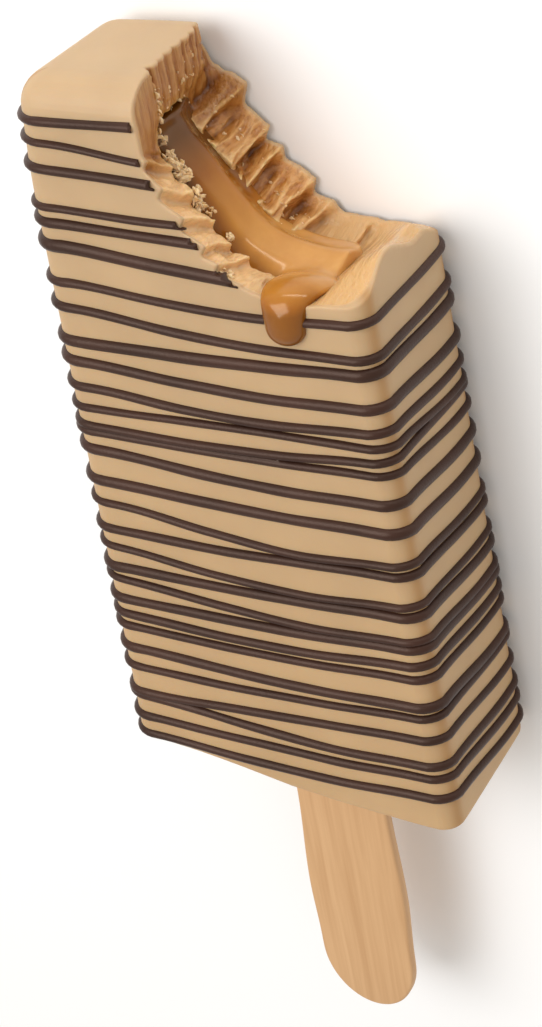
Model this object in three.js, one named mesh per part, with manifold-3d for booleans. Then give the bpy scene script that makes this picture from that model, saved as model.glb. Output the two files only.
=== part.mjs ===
// Bitten ice cream bar on a flat wooden stick, lying on its back with its front face up.
// Millimetres. X runs across the bar, Y from the stick's end to the bar's tip, Z up.
// Every shape is worked out on the bar: x from its middle line, y above its base, z above the surface
// that it lies on. The group at the end moves the middle of the whole length to the origin.

import * as THREE from 'three';
import { mergeVertices } from 'three/addons/utils/BufferGeometryUtils.js';
import Module from 'manifold-3d';

const wasm = await Module();
wasm.setup();

// Bar of ice cream
const BAR_LENGTH = 115;
const BASE_WIDTH = 55;
const TIP_WIDTH = 48;
const BASE_THICKNESS = 26.4;
const TIP_THICKNESS = 23.4;
const SIDE_RADIUS = 3.4;
const TIP_RADIUS = 4.5;
const TIP_STEPS = 5;
const BAR_FOOT = -2;
const GAP = 0.3;

// Lower edge of the bar, [x, y], which rises towards the left corner
const BASE_EDGE = [[34, -1.2], [26, -1.1], [17, -0.8], [8, -0.3], [0, 0.5], [-8.4, 2], [-15, 3],
  [-21, 3.5], [-27, 3.7], [-34, 3.8]];

// The tip's left back corner is worn rounder than the others, over a run along the bar
const WORN_BY = 1.6;
const WORN_RUN = 16;

// Drizzle: each thread runs once round the bar and stands proud of it by the ridge.
// Columns: height above the base at the front left, inner left, inner right, right corner and
// right rear, then the thread's width.
const RIDGE = 0.8;
const THREADS = [
  [109.5, 109.9, 110.0, 109.8, 109.2, 1.45],
  [106.4, 105.1, 104.6, 104.6, 104.0, 1.1],
  [102.6, 102.0, 101.9, 102.0, 101.0, 1.5],
  [96.9, 96.5, 96.7, 97.0, 96.0, 1.2],
  [94.6, 94.2, 94.1, 94.2, 93.0, 1.6],
  [91.1, 90.0, 89.2, 89.2, 88.4, 2.0],
  [85.5, 84.5, 84.1, 84.9, 84.2, 1.4],
  [81.5, 80.1, 79.4, 79.7, 78.8, 1.5],
  [76.2, 76.3, 76.7, 77.5, 76.2, 2.0],
  [73.0, 72.0, 71.7, 72.2, 70.4, 1.75],
  [68.7, 67.7, 67.6, 68.5, 66.5, 1.5],
  [65.3, 65.8, 66.1, 66.1, 63.5, 1.3],
  [62.3, 62.2, 62.7, 64.0, 62.7, 1.4],
  [61.3, 61.2, 61.4, 61.8, 59.4, 1.4],
  [58.2, 57.2, 56.8, 57.1, 54.9, 1.85],
  [52.8, 52.3, 52.2, 52.5, 50.0, 1.9],
  [48.9, 47.2, 46.2, 47.1, 44.7, 1.35],
  [44.3, 44.2, 44.8, 45.3, 42.7, 1.6],
  [41.0, 39.5, 39.2, 40.2, 37.9, 1.3],
  [37.3, 37.4, 37.8, 38.4, 35.6, 1.8],
  [35.1, 33.9, 33.4, 34.2, 31.6, 1.4],
  [31.4, 31.6, 32.0, 32.9, 30.3, 1.8],
  [28.5, 28.2, 28.6, 29.9, 27.3, 1.6],
  [26.3, 26.3, 26.7, 27.5, 24.8, 1.5],
  [22.0, 21.6, 21.8, 22.5, 19.5, 1.75],
  [18.4, 18.6, 19.4, 20.5, 18.2, 1.45],
  [13.3, 14.4, 15.4, 16.5, 13.6, 1.6],
  [12.6, 11.5, 10.8, 11.6, 9.1, 1.6],
  [8.4, 8.3, 8.5, 9.2, 6.2, 1.6],
  [4.9, 4.4, 4.6, 5.5, 2.5, 1.6],
];
const THREAD_CREST = 0.3;
const THREAD_FOOT = 0.6;
const THREAD_SINK = 0.4;

// Sides of a thread's ring over the bar's section, and the numbers of the vertices, whole or not,
// at which the five heights of a row were measured, then of two more that lead home over the back
const FRONT_STEPS = 4;
const RIGHT_STEPS = 1;
const BACK_STEPS = 2;
const THREAD_PLACES = [2.1, 3.85, 5.5, 8, 11, 14.5, 17];
const BACK_SHARES = [0.5, 0.95];

// Bite: three lines of [x, y] stations, from above the tip down the wall and along the floor to
// the right: on the front rim, on the deepest line behind the filling, and on the back rim.
const FRONT_RIM = [[-5.5, 128], [-5.2, 115], [-4.8, 109], [-4.4, 105], [-2.6, 99.8], [0.9, 94.5],
  [3.6, 90.6], [8, 88], [14, 86.7], [18.5, 87.2], [22, 87.4], [25, 87.6], [40, 88.5]];
const DEEP_LINE = [[-4.6, 128], [-4.8, 115], [-5.4, 109], [-7.4, 104], [-4.4, 99.5], [-1.5, 94.5],
  [1.6, 90.3], [6.2, 86.9], [13, 85.2], [18.5, 86.4], [22.3, 89.4], [25.2, 88.8], [40, 88]];
const BACK_RIM = [[-8.5, 128], [-7.6, 114], [-6.9, 110.6], [-5.3, 107.2], [-2.9, 102], [-0.8, 97],
  [2.9, 93], [7, 88], [12, 86.2], [18, 86], [23, 85.4], [27.5, 84.6], [40, 83]];
const DEEP_SHARE = -0.5;
const BITE_HALF_DEPTH = 12;
const BITE_OVERRUN = 1.35;
const BITE_STEPS = 48;
const BITE_SLICES = 16;
const BITE_HUB = new THREE.Vector2(60, 150);
const HUB_CLOSENESS = 0.97;
const MIDDLE_STATION = 6;

// The bite's slope from the deepest line to a rim is a power, and at the right a smooth shoulder
const SLOPE_POWER = 1.3;
const SHOULDER_HEIGHT = 3.3;
const SHOULDER_STATIONS = [8.7, 9.4];
const SHOULDER_RISE = [0.1, 0.6];
const SHOULDER_FALL = [0.6, 1];

// Tooth marks, [station, height] of each crest: a mark rises slowly to its crest and drops within
// a share of the way to the next one. Those at the back fade out towards the front between two
// depth shares, and the others towards the back.
const BACK_MARKS = [[2.75, 0.4], [3.6, 1.5], [4.75, 1.4], [5.35, 1], [6.45, 1.4], [7.1, 0.9],
  [8.2, 0.5], [9.2, 0.4]];
const FRONT_MARKS = [[3, 0.3], [3.5, 0.8], [4.1, 0.8], [4.8, 0.9], [5.7, 0.9], [6.5, 0.6], [7.3, 0.3]];
const MARK_DROP = 0.3;
const BACK_MARK_SHARES = [-0.5, 0.2];
const FRONT_MARK_SHARES = [0.2, 0.6];

// Ridges across the wall, with the stations and depth shares between which they fade
const WALL_RIDGE_HEIGHT = 0.45;
const WALL_RIDGE_PITCH = 2.6;
const WALL_RIDGE_STATIONS = [3, 4];
const WALL_RIDGE_SHARES = [0.3, 0.6];

// Caramel filling: a flat core inside the bar, which the bite opens, and a drip over the front rim
const CORE_WIDTH = 35;
const CORE_MIDDLE = -1;
const CORE_THICKNESS = 12.6;
const CORE_FOOT = 58;
const CORE_TOP = 106.5;
const CORE_CORNER = 8;
const CORE_EDGE = 3.4;
const HOLLOW_ABOVE_CORE = 0.6;
const CARAMEL_CREST = [[-3, 128], [-3.6, 115], [-4.6, 109], [-6.4, 104.2], [-3.2, 99.4], [0.6, 94],
  [3.4, 90.2], [8.2, 87.9], [14, 87], [19, 88.2], [23, 91], [26, 93], [40, 95]];
const CREST_DEPTH = 1.6;
const BACK_DROP = 0.024;
const FRONT_DROP = 0.17;
const CARAMEL_STEPS = 36;
const CARAMEL_SLICES = 12;
const DRIP_WIDTH = 6.6;
const DRIP_PROUD = 2.2;
const DRIP_ROOT_PROUD = 1.8;
const DRIP_ROOT_DIP = 0.3;
const DRIP_LOWEST = 80.6;
const DRIP_BEND_AT = 86.2;
const DRIP_BEND_RADIUS = 1.8;
const DRIP_INNER_RADIUS = 0.6;
const DRIP_ROOT = 7;
const DRIP_X = 12.7;
const DRIP_LEAN = 1.6;
const DRIP_SPREAD = 0.65;
const DRIP_SPREAD_FROM = 0.6;
const DRIP_SPREAD_RUN = 2;

// How far short of the bite the threads break off at the back and at the front. Along the shoulder
// they break off level instead, between the same two sides and from one station to another.
const THREAD_SETBACKS = [2, 0.2];
const THREAD_LEVELS = [85.2, 86.6];
const LEVEL_STATIONS = [8.2, 8.8];

// Stick, turned a little about a place on it
const STICK_TURN = -0.8;
const STICK_TURN_AT = -12;
const STICK_LENGTH = 113;
const STICK_SHOWS = 60;
const STICK_WIDTH = 17.6;
const STICK_THICKNESS = 2;
const STICK_EDGE = 0.35;

// Side of the stick from inside the bar to its end, [half its width, y]
const STICK_SIDE = [[8.5, 18], [8, -13], [8.8, -34], [8.4, -47], [5.6, -56.4]];

const MIDDLE_SLOPE = Math.atan((BASE_THICKNESS - TIP_THICKNESS) / 2 / BAR_LENGTH);

const mix = THREE.MathUtils.lerp;
const clamp = THREE.MathUtils.clamp;
const smooth = THREE.MathUtils.smoothstep;

const widthAt = (y) => mix(BASE_WIDTH, TIP_WIDTH, y / BAR_LENGTH);
const thicknessAt = (y) => mix(BASE_THICKNESS, TIP_THICKNESS, y / BAR_LENGTH);
const middleZ = (y) => RIDGE + thicknessAt(y) / 2;
const frontZ = (y) => RIDGE + thicknessAt(y);

// Moves every vertex of a geometry to the place that a function gives it
function reshape(geometry, place) {
  const position = geometry.getAttribute('position');
  const point = new THREE.Vector3();
  for (let i = 0; i < position.count; i += 1) {
    point.fromBufferAttribute(position, i);
    place(point, i);
    position.setXYZ(i, point.x, point.y, point.z);
  }
  return geometry;
}

// Closed solid from a geometry: vertices merged by place, and triangles that close up left out
function solidFrom(geometry) {
  const plain = geometry.index ? geometry.toNonIndexed() : geometry.clone();
  plain.deleteAttribute('normal');
  plain.deleteAttribute('uv');
  const merged = mergeVertices(plain, 1e-4);
  const index = merged.index.array;
  const corners = [];
  for (let i = 0; i < index.length; i += 3) {
    const [a, b, c] = [index[i], index[i + 1], index[i + 2]];
    if (a !== b && b !== c && c !== a) corners.push(a, b, c);
  }
  return new wasm.Manifold(new wasm.Mesh({
    numProp: 3,
    vertProperties: new Float32Array(merged.getAttribute('position').array),
    triVerts: new Uint32Array(corners),
  }));
}

function geometryFrom(solid) {
  const mesh = solid.getMesh();
  const geometry = new THREE.BufferGeometry();
  geometry.setAttribute('position', new THREE.BufferAttribute(mesh.vertProperties, 3));
  geometry.setIndex(new THREE.BufferAttribute(mesh.triVerts, 1));
  geometry.computeVertexNormals();
  return geometry;
}

function roundedRectangle(width, height, radius) {
  const x = width / 2 - radius;
  const y = height / 2 - radius;
  const shape = new THREE.Shape();
  shape.absarc(x, -y, radius, -Math.PI / 2, 0);
  shape.absarc(x, y, radius, 0, Math.PI / 2);
  shape.absarc(-x, y, radius, Math.PI / 2, Math.PI);
  shape.absarc(-x, -y, radius, Math.PI, 1.5 * Math.PI);
  shape.closePath();
  return shape;
}

// Moves a point of the bar in where the tip's left back corner is worn
function wear(point) {
  const left = clamp(-2 * point.x / widthAt(point.y), 0, 1);
  const back = clamp((frontZ(point.y) - point.z) / thicknessAt(point.y), 0, 1);
  const by = WORN_BY * left ** 2 * back * smooth(point.y, BAR_LENGTH - WORN_RUN, BAR_LENGTH);
  point.x += by;
  point.y -= by / 2;
}

// Tapered block with round long edges. Its last steps follow a quarter circle round the tip.
function barBlock() {
  const outline = roundedRectangle(BASE_WIDTH, BASE_THICKNESS, SIDE_RADIUS);
  const block = new THREE.ExtrudeGeometry(outline, {
    depth: 1 + TIP_STEPS, steps: 1 + TIP_STEPS, curveSegments: 1, bevelEnabled: false,
  });
  return reshape(block, (point) => {
    const turn = (Math.max(point.z - 1, 0) / TIP_STEPS) * (Math.PI / 2);
    const y = point.z < 0.5 ? BAR_FOOT : BAR_LENGTH - TIP_RADIUS * (1 - Math.sin(turn));
    const inset = TIP_RADIUS * (1 - Math.cos(turn));
    const x = point.x * ((widthAt(y) - 2 * inset) / BASE_WIDTH);
    const up = -point.y * ((thicknessAt(y) - 2 * inset) / BASE_THICKNESS);
    point.set(x, y, middleZ(y) + up);
    wear(point);
  });
}

// Tool that trims the bar along its lower edge
function baseTrim() {
  const reach = 10;
  const below = new THREE.Shape();
  below.moveTo(-BASE_WIDTH, -reach);
  below.lineTo(BASE_EDGE[0][0], -reach);
  below.lineTo(...BASE_EDGE[0]);
  below.splineThru(BASE_EDGE.slice(1).map(([x, y]) => new THREE.Vector2(x, y)));
  below.lineTo(-BASE_WIDTH, BASE_EDGE.at(-1)[1]);
  return new THREE.ExtrudeGeometry(below, {
    depth: BASE_THICKNESS + 2 * reach, curveSegments: 1, bevelEnabled: false,
  }).translate(0, 0, -reach);
}

// Places round the bar's section where a thread has a vertex: from the left side over the front
// to the right side, the back and home. Each has the signs of the corner centre that it turns
// about, or runs between, and the angle of the outward normal.
function sectionStations() {
  const stations = [];
  const corner = (across, up, start) => {
    for (const turn of [0, 45, 90]) stations.push({ across, up, angle: start - turn });
  };
  const side = (from, to, angle, count) => {
    for (let i = 1; i <= count; i += 1) {
      const t = i / (count + 1);
      stations.push({ across: mix(from[0], to[0], t), up: mix(from[1], to[1], t), angle });
    }
  };
  corner(-1, 1, 180);
  side([-1, 1], [1, 1], 90, FRONT_STEPS);
  corner(1, 1, 90);
  side([1, 1], [1, -1], 0, RIGHT_STEPS);
  corner(1, -1, 0);
  side([1, -1], [-1, -1], -90, BACK_STEPS);
  corner(-1, -1, -90);
  return stations;
}

const STATIONS = sectionStations();

// Height of a thread at a station, on a smooth closed curve through its measured places. The
// back, which starts at the right rear, leads evenly to the left side.
function threadHeight(row, station) {
  const [left, innerLeft, innerRight, corner, rear] = row;
  const home = BACK_SHARES.map((share) => mix(rear, left, share));
  const heights = [left, innerLeft, innerRight, corner, rear, ...home];
  const count = heights.length;
  const place = (i) => {
    const turn = STATIONS.length * Math.floor(i / count);
    return [THREAD_PLACES[(i + count) % count] + turn, heights[(i + count) % count]];
  };
  const at = station < THREAD_PLACES[0] ? station + STATIONS.length : station;
  let i = count - 1;
  while (place(i)[0] > at) i -= 1;
  const [[x0, h0], [x1, h1], [x2, h2], [x3, h3]] = [i - 1, i, i + 1, i + 2].map(place);
  const t = (at - x1) / (x2 - x1);
  const slope1 = ((h2 - h0) / (x2 - x0)) * (x2 - x1);
  const slope2 = ((h3 - h1) / (x3 - x1)) * (x2 - x1);
  return (2 * t ** 3 - 3 * t ** 2 + 1) * h1 + (t ** 3 - 2 * t ** 2 + t) * slope1
    + (3 * t ** 2 - 2 * t ** 3) * h2 + (t ** 3 - t ** 2) * slope2;
}

// One thread: a ring that follows the bar's section, with a flat crest and a foot in the ice cream
function threadRing(row) {
  const count = STATIONS.length;
  const width = row[row.length - 1];
  const section = [[RIDGE, THREAD_CREST], [-THREAD_SINK, THREAD_FOOT],
    [-THREAD_SINK, -THREAD_FOOT], [RIDGE, -THREAD_CREST]];
  const torus = new THREE.TorusGeometry(10, 1, section.length, count);
  return reshape(torus, (point, i) => {
    const step = i % (count + 1) % count;
    const [out, along] = section[Math.floor(i / (count + 1)) % section.length];
    const y = threadHeight(row, step) + along * width;
    const reach = SIDE_RADIUS + out;
    const { across, up, angle } = STATIONS[step];
    const normal = THREE.MathUtils.degToRad(angle);
    const x = across * (widthAt(y) / 2 - SIDE_RADIUS) + Math.cos(normal) * reach;
    const z = up * (thicknessAt(y) / 2 - SIDE_RADIUS) + Math.sin(normal) * reach;
    point.set(x, y, middleZ(y) + z);
    wear(point);
  });
}

// Curve through a line of stations: a station's number, whole or not, gives a point
function stationLine(line) {
  const curve = new THREE.CatmullRomCurve3(
    line.map(([x, y]) => new THREE.Vector3(x, y, 0)), false, 'catmullrom', 0.5,
  );
  return (station) => {
    const { x, y } = curve.getPoint(station / (line.length - 1));
    return new THREE.Vector2(x, y);
  };
}

const frontRim = stationLine(FRONT_RIM);
const deepLine = stationLine(DEEP_LINE);
const backRim = stationLine(BACK_RIM);
const caramelCrest = stationLine(CARAMEL_CREST);

const awayFromBar = (point, distance) => point.add(
  BITE_HUB.clone().sub(point).normalize().multiplyScalar(distance),
);

// Height of a row of tooth marks at a station
function markHeight(marks, station) {
  const next = marks.findIndex(([at]) => at > station);
  if (next < 1) return 0;
  const [[from, last], [to, height]] = marks.slice(next - 1, next + 1);
  const t = (station - from) / (to - from);
  return last * (1 - smooth(t, 0, MARK_DROP)) + height * clamp((t - MARK_DROP) / (1 - MARK_DROP), 0, 1);
}

// Surface of the bite at a station and a depth share, from -1 at the back to 1 at the front
function biteSurface(station, depth) {
  const share = clamp(depth, -1, 1);
  const toFront = share > DEEP_SHARE;
  const rim = toFront ? frontRim(station) : backRim(station);
  const f = (share - DEEP_SHARE) / (toFront ? 1 - DEEP_SHARE : -1 - DEEP_SHARE);
  const shoulder = toFront ? SHOULDER_HEIGHT * smooth(station, ...SHOULDER_STATIONS)
    * smooth(f, ...SHOULDER_RISE) * (1 - smooth(f, ...SHOULDER_FALL)) : 0;
  const marks = markHeight(BACK_MARKS, station) * (1 - smooth(share, ...BACK_MARK_SHARES))
    + markHeight(FRONT_MARKS, station) * smooth(share, ...FRONT_MARK_SHARES);
  const ridges = Math.cos((2 * Math.PI * share * BITE_HALF_DEPTH) / WALL_RIDGE_PITCH)
    * WALL_RIDGE_HEIGHT * (1 - smooth(station, ...WALL_RIDGE_STATIONS))
    * (1 - smooth(share, ...WALL_RIDGE_SHARES));
  return awayFromBar(deepLine(station).lerp(rim, f ** SLOPE_POWER), shoulder + marks + ridges);
}

// Surface where the threads break off: the bite, sunk by the setback, and level at the shoulder
function threadEnds(station, depth) {
  const toFront = (clamp(depth, -1, 1) + 1) / 2;
  const spot = awayFromBar(biteSurface(station, depth), -mix(...THREAD_SETBACKS, toFront));
  spot.y = mix(spot.y, mix(...THREAD_LEVELS, toFront), smooth(station, ...LEVEL_STATIONS));
  return spot;
}

// Surface of the caramel, domed across the filling
function caramelSurface(station, depth) {
  const offCrest = depth * BITE_HALF_DEPTH - CREST_DEPTH;
  const drop = offCrest < 0 ? BACK_DROP : FRONT_DROP;
  return awayFromBar(caramelCrest(station), -drop * offCrest ** 2);
}

// Tool that takes away everything above a surface: the block's lower side lies on the surface and
// its upper side closes up at the hub, far off the bar's bitten corner
function toolAbove(surface, steps, slices) {
  const block = new THREE.BoxGeometry(1, 1, 1, steps, 1, slices);
  const stationCount = FRONT_RIM.length - 1;
  return reshape(block, (point) => {
    const depth = 2 * BITE_OVERRUN * point.z;
    const low = surface((point.x + 0.5) * stationCount, depth);
    const place = point.y < 0 ? low : low.lerp(BITE_HUB, HUB_CLOSENESS);
    const z = middleZ(deepLine(MIDDLE_STATION).y) + depth * BITE_HALF_DEPTH;
    point.set(place.x, place.y, z);
  });
}

// Flat core of the filling, with round corners and edges
function coreBlock(grow, hollow) {
  const length = CORE_TOP - CORE_FOOT + hollow;
  const plan = roundedRectangle(CORE_WIDTH, length, CORE_CORNER);
  const core = new THREE.ExtrudeGeometry(plan, {
    depth: CORE_THICKNESS - 2 * CORE_EDGE,
    curveSegments: 4,
    bevelSegments: 3,
    bevelThickness: CORE_EDGE + grow,
    bevelSize: CORE_EDGE,
    bevelOffset: grow - CORE_EDGE,
  });
  const middle = CORE_FOOT + length / 2;
  return reshape(core, (point) => {
    const y = point.y + middle;
    const up = point.z - (CORE_THICKNESS - 2 * CORE_EDGE) / 2;
    point.set(point.x + CORE_MIDDLE, y, middleZ(y) + up);
  });
}

// Drip: a capsule that hangs down the front face, bent back over the rim into the filling
function dripTongue(grow) {
  const hang = DRIP_BEND_AT - DRIP_LOWEST;
  const bend = (DRIP_BEND_RADIUS * Math.PI) / 2;
  const length = hang + bend + DRIP_ROOT;
  const radius = DRIP_WIDTH / 2;
  const capsule = new THREE.CapsuleGeometry(radius, length - 2 * radius, 4, 14, 9);
  return reshape(capsule, (point) => {
    const along = (point.y + length / 2) * ((length + 2 * grow) / length) - grow;
    const proud = mix(DRIP_PROUD, DRIP_ROOT_PROUD, smooth(along, hang, hang + bend));
    const out = point.z * ((proud + grow) / radius);
    const spread = smooth(along, hang * DRIP_SPREAD_FROM, hang + bend + DRIP_SPREAD_RUN);
    const widen = 1 + DRIP_SPREAD * spread;
    const x = DRIP_X + (DRIP_LEAN * along) / length + point.x * widen * ((radius + grow) / radius);
    const turn = clamp((along - hang) / DRIP_BEND_RADIUS, 0, Math.PI / 2);
    const arm = Math.max(DRIP_BEND_RADIUS + out, DRIP_INNER_RADIUS - grow);
    const straight = Math.min(along, hang);
    const back = Math.max(along - hang - bend, 0);
    const y = DRIP_LOWEST + straight + arm * Math.sin(turn) - DRIP_ROOT_DIP * back;
    point.set(x, y, frontZ(DRIP_BEND_AT) - DRIP_BEND_RADIUS + arm * Math.cos(turn) - back);
  });
}

// Flat stick: one round end in the bar, and outside it a waist, a wide blade and a round tip
function stickBlade(grow) {
  const half = STICK_WIDTH / 2;
  const inner = STICK_LENGTH - STICK_SHOWS;
  const outline = new THREE.Shape();
  outline.absarc(0, inner - half, half, 0, Math.PI);
  outline.splineThru([
    ...STICK_SIDE.map(([x, y]) => new THREE.Vector2(-x, y)),
    new THREE.Vector2(0, -STICK_SHOWS),
    ...STICK_SIDE.toReversed().map(([x, y]) => new THREE.Vector2(x, y)),
    new THREE.Vector2(half, inner - half),
  ]);
  const blade = new THREE.ExtrudeGeometry(outline, {
    depth: STICK_THICKNESS - 2 * STICK_EDGE,
    curveSegments: 4,
    bevelSegments: 1,
    bevelThickness: STICK_EDGE + grow,
    bevelSize: STICK_EDGE,
    bevelOffset: grow - STICK_EDGE,
  });
  return blade.translate(0, 0, STICK_EDGE - STICK_THICKNESS / 2)
    .translate(0, -STICK_TURN_AT, 0)
    .rotateZ(THREE.MathUtils.degToRad(STICK_TURN))
    .translate(0, STICK_TURN_AT, 0)
    .rotateX(-MIDDLE_SLOPE)
    .translate(0, 0, middleZ(0));
}

function iceCream() {
  const threads = wasm.Manifold.union(THREADS.map((row) => solidFrom(threadRing(row))))
    .subtract(solidFrom(toolAbove(threadEnds, BITE_STEPS, BITE_SLICES)));
  return solidFrom(barBlock())
    .subtract(solidFrom(baseTrim()))
    .add(threads)
    .subtract(solidFrom(toolAbove(biteSurface, BITE_STEPS, BITE_SLICES)))
    .subtract(solidFrom(coreBlock(GAP, HOLLOW_ABOVE_CORE)))
    .subtract(solidFrom(dripTongue(GAP)))
    .subtract(solidFrom(stickBlade(GAP)));
}

function caramel() {
  return solidFrom(coreBlock(0, 0))
    .subtract(solidFrom(toolAbove(caramelSurface, CARAMEL_STEPS, CARAMEL_SLICES)))
    .add(solidFrom(dripTongue(0)));
}

function piece(name, solid, color, roughness) {
  const material = new THREE.MeshStandardMaterial({ color, roughness, metalness: 0 });
  const mesh = new THREE.Mesh(geometryFrom(solid), material);
  mesh.name = name;
  return mesh;
}

const bar = new THREE.Group();
bar.name = 'ice_cream_bar';
bar.position.y = (STICK_SHOWS - BAR_LENGTH) / 2;
bar.add(piece('ice_cream', iceCream(), 0xd4b284, 0.5));
bar.add(piece('caramel', caramel(), 0xb87c3c, 0.2));
bar.add(piece('stick', solidFrom(stickBlade(0)), 0xd3a673, 0.65));

export default bar;
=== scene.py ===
# %% [markdown]
# # A bitten ice cream bar on its stick
#
# The bar lies on its back on a pale floor, with its front face up. X runs across the bar, Y from the
# stick to the tip and Z up, in metres. The solids come from the frame; this script models the
# visible surfaces again at full detail: the frozen coating with a torn bite, the dark drizzle
# threads, the caramel and the wooden stick.

# %% Load the frame
import math
import random

import bmesh
import bpy
import numpy as np
from mathutils import Matrix, Vector, noise


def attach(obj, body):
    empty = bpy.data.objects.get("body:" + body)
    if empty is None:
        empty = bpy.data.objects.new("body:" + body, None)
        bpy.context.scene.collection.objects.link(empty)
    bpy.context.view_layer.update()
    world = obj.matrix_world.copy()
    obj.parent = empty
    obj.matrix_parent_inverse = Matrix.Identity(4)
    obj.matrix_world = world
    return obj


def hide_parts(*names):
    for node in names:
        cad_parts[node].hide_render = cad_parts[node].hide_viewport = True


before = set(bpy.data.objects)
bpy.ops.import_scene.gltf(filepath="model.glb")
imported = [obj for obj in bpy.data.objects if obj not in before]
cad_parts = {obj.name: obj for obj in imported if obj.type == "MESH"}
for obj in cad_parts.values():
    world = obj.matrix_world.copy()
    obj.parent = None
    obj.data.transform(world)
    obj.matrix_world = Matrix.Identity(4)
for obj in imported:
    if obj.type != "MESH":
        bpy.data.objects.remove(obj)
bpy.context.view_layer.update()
MM = 0.001

# %% [markdown]
# ## The bar's driving sizes
#
# Everything is worked out on the bar in millimetres: x from its middle line, y above its base and z
# above the floor. The bar tapers towards the tip in width and in thickness, so the section at a
# height comes from short functions. The whole bar is then moved along Y, because the part's origin
# is in the middle of its length with the stick.

# %% Bar sizes
BAR_LENGTH = 115.0
BASE_WIDTH = 55.0
TIP_WIDTH = 48.0
BASE_THICKNESS = 26.4
TIP_THICKNESS = 23.4
SIDE_RADIUS = 4.6
TIP_RADIUS = 4.5
# How far the threads stand out, so also how high the block lies above the floor
RIDGE = 0.8
STICK_SHOWS = 60.0
ORIGIN_Y = (BAR_LENGTH - STICK_SHOWS) / 2


def mix(a, b, t):
    return a + (b - a) * t


def clamp(value, low=0.0, high=1.0):
    return min(max(value, low), high)


def smooth(value, low, high):
    """0 up to a low value, 1 from a high one, with a soft rise between them."""
    t = clamp((value - low) / (high - low))
    return t * t * (3 - 2 * t)


def width_at(y):
    return mix(BASE_WIDTH, TIP_WIDTH, y / BAR_LENGTH)


def thickness_at(y):
    return mix(BASE_THICKNESS, TIP_THICKNESS, y / BAR_LENGTH)


def middle_z(y):
    return RIDGE + thickness_at(y) / 2


def front_z(y):
    return RIDGE + thickness_at(y)


def place(x, y, z):
    """A point on the bar, in millimetres, as a point in the frame, in metres."""
    return Vector((x, y - ORIGIN_Y, z)) * MM


print("bar", BAR_LENGTH, "mm long, origin at", ORIGIN_Y, "mm above its base")

# %% [markdown]
# ## Camera
#
# The photograph looks down on the front face from the tip's right corner, from about a third of a
# metre, with the stick towards the lower edge of the picture. Such a view is rolled. A camera could
# be turned by three angles, but two directions say it more plainly: which way the picture's right
# edge and its upper edge lie in the frame.

# %% Camera
CAMERA_PLACE = Vector((154.25, 207.64, 237.39)) * MM
CAMERA_RIGHT = Vector((0.86727, -0.16150, -0.47091))
CAMERA_UP = Vector((-0.16366, 0.80085, -0.57607))
FOCAL_LENGTH = 80.6
SENSOR = 36.0

camera_data = bpy.data.cameras.new("camera")
camera_data.lens = FOCAL_LENGTH
camera_data.sensor_width = SENSOR
camera_data.clip_start = 0.01
camera = bpy.data.objects.new("camera", camera_data)
back = CAMERA_RIGHT.cross(CAMERA_UP)
camera.matrix_world = Matrix.Translation(CAMERA_PLACE) @ Matrix(
    (CAMERA_RIGHT, CAMERA_UP, back)).transposed().to_4x4()
bpy.context.collection.objects.link(camera)
bpy.context.scene.camera = camera
print("camera", [round(v, 3) for v in camera.location], "lens", camera_data.lens)

# %% [markdown]
# ## Pieces as meshes
#
# Each piece is built in a bmesh, Blender's mesh workbench, and stored in an object at the origin.
# Modifiers could stay live, but later steps measure and colour the vertices, so the modifiers are
# turned into the mesh at once. Every finished piece rides on the part's one body.

# %% Mesh helpers
def new_piece(name, bm):
    """An object at the origin from a bmesh, which is freed."""
    mesh = bpy.data.meshes.new(name)
    bm.to_mesh(mesh)
    bm.free()
    piece = bpy.data.objects.new(name, mesh)
    bpy.context.collection.objects.link(piece)
    return piece


def apply_modifiers(piece):
    """Turns the piece's modifiers into its mesh."""
    graph = bpy.context.evaluated_depsgraph_get()
    mesh = bpy.data.meshes.new_from_object(piece.evaluated_get(graph))
    piece.modifiers.clear()
    piece.data = mesh


def triangles(piece):
    return sum(len(face.vertices) - 2 for face in piece.data.polygons)


def discard(*pieces):
    for piece in pieces:
        bpy.data.objects.remove(piece, do_unlink=True)


def boolean(piece, other, operation):
    """Cuts or joins a piece with another closed piece."""
    modifier = piece.modifiers.new("join", "BOOLEAN")
    modifier.operation = operation
    modifier.object = other
    modifier.solver = "MANIFOLD"
    apply_modifiers(piece)


def finish(piece, material, slot, *nodes):
    """Gives a piece its material, its body and the nodes that it stands for; the slot is not used."""
    piece.data.materials.clear()
    piece.data.materials.append(material)
    for face in piece.data.polygons:
        face.use_smooth = True
    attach(piece, "root")
    if nodes:
        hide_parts(*nodes)
    print(piece.name, triangles(piece), "triangles")


# %% [markdown]
# ## Lights
#
# The photograph has soft shadows. A large panel over the tip's left side gives the form, a narrow
# one low beyond the tip shines along the wet caramel, and an even pale sky fills the shadows. One
# small lamp would give hard edges instead.

# %% Lights
def make_light(name, spot, target, width, height, power):
    """A soft light panel that looks at a point; places and sizes in metres."""
    data = bpy.data.lights.new(name, "AREA")
    data.shape = "RECTANGLE"
    data.size = width
    data.size_y = height
    data.energy = power
    light = bpy.data.objects.new(name, data)
    light.location = spot
    aim = Vector(target) - Vector(spot)
    light.rotation_euler = aim.to_track_quat("-Z", "Y").to_euler()
    bpy.context.collection.objects.link(light)
    print(name, "light,", power, "W,", round(aim.length, 2), "m from what it looks at")


def make_sky(colour, strength):
    world = bpy.data.worlds.new("sky")
    world.use_nodes = True
    background = world.node_tree.nodes["Background"]
    background.inputs["Color"].default_value = (*colour, 1)
    background.inputs["Strength"].default_value = strength
    bpy.context.scene.world = world


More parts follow.
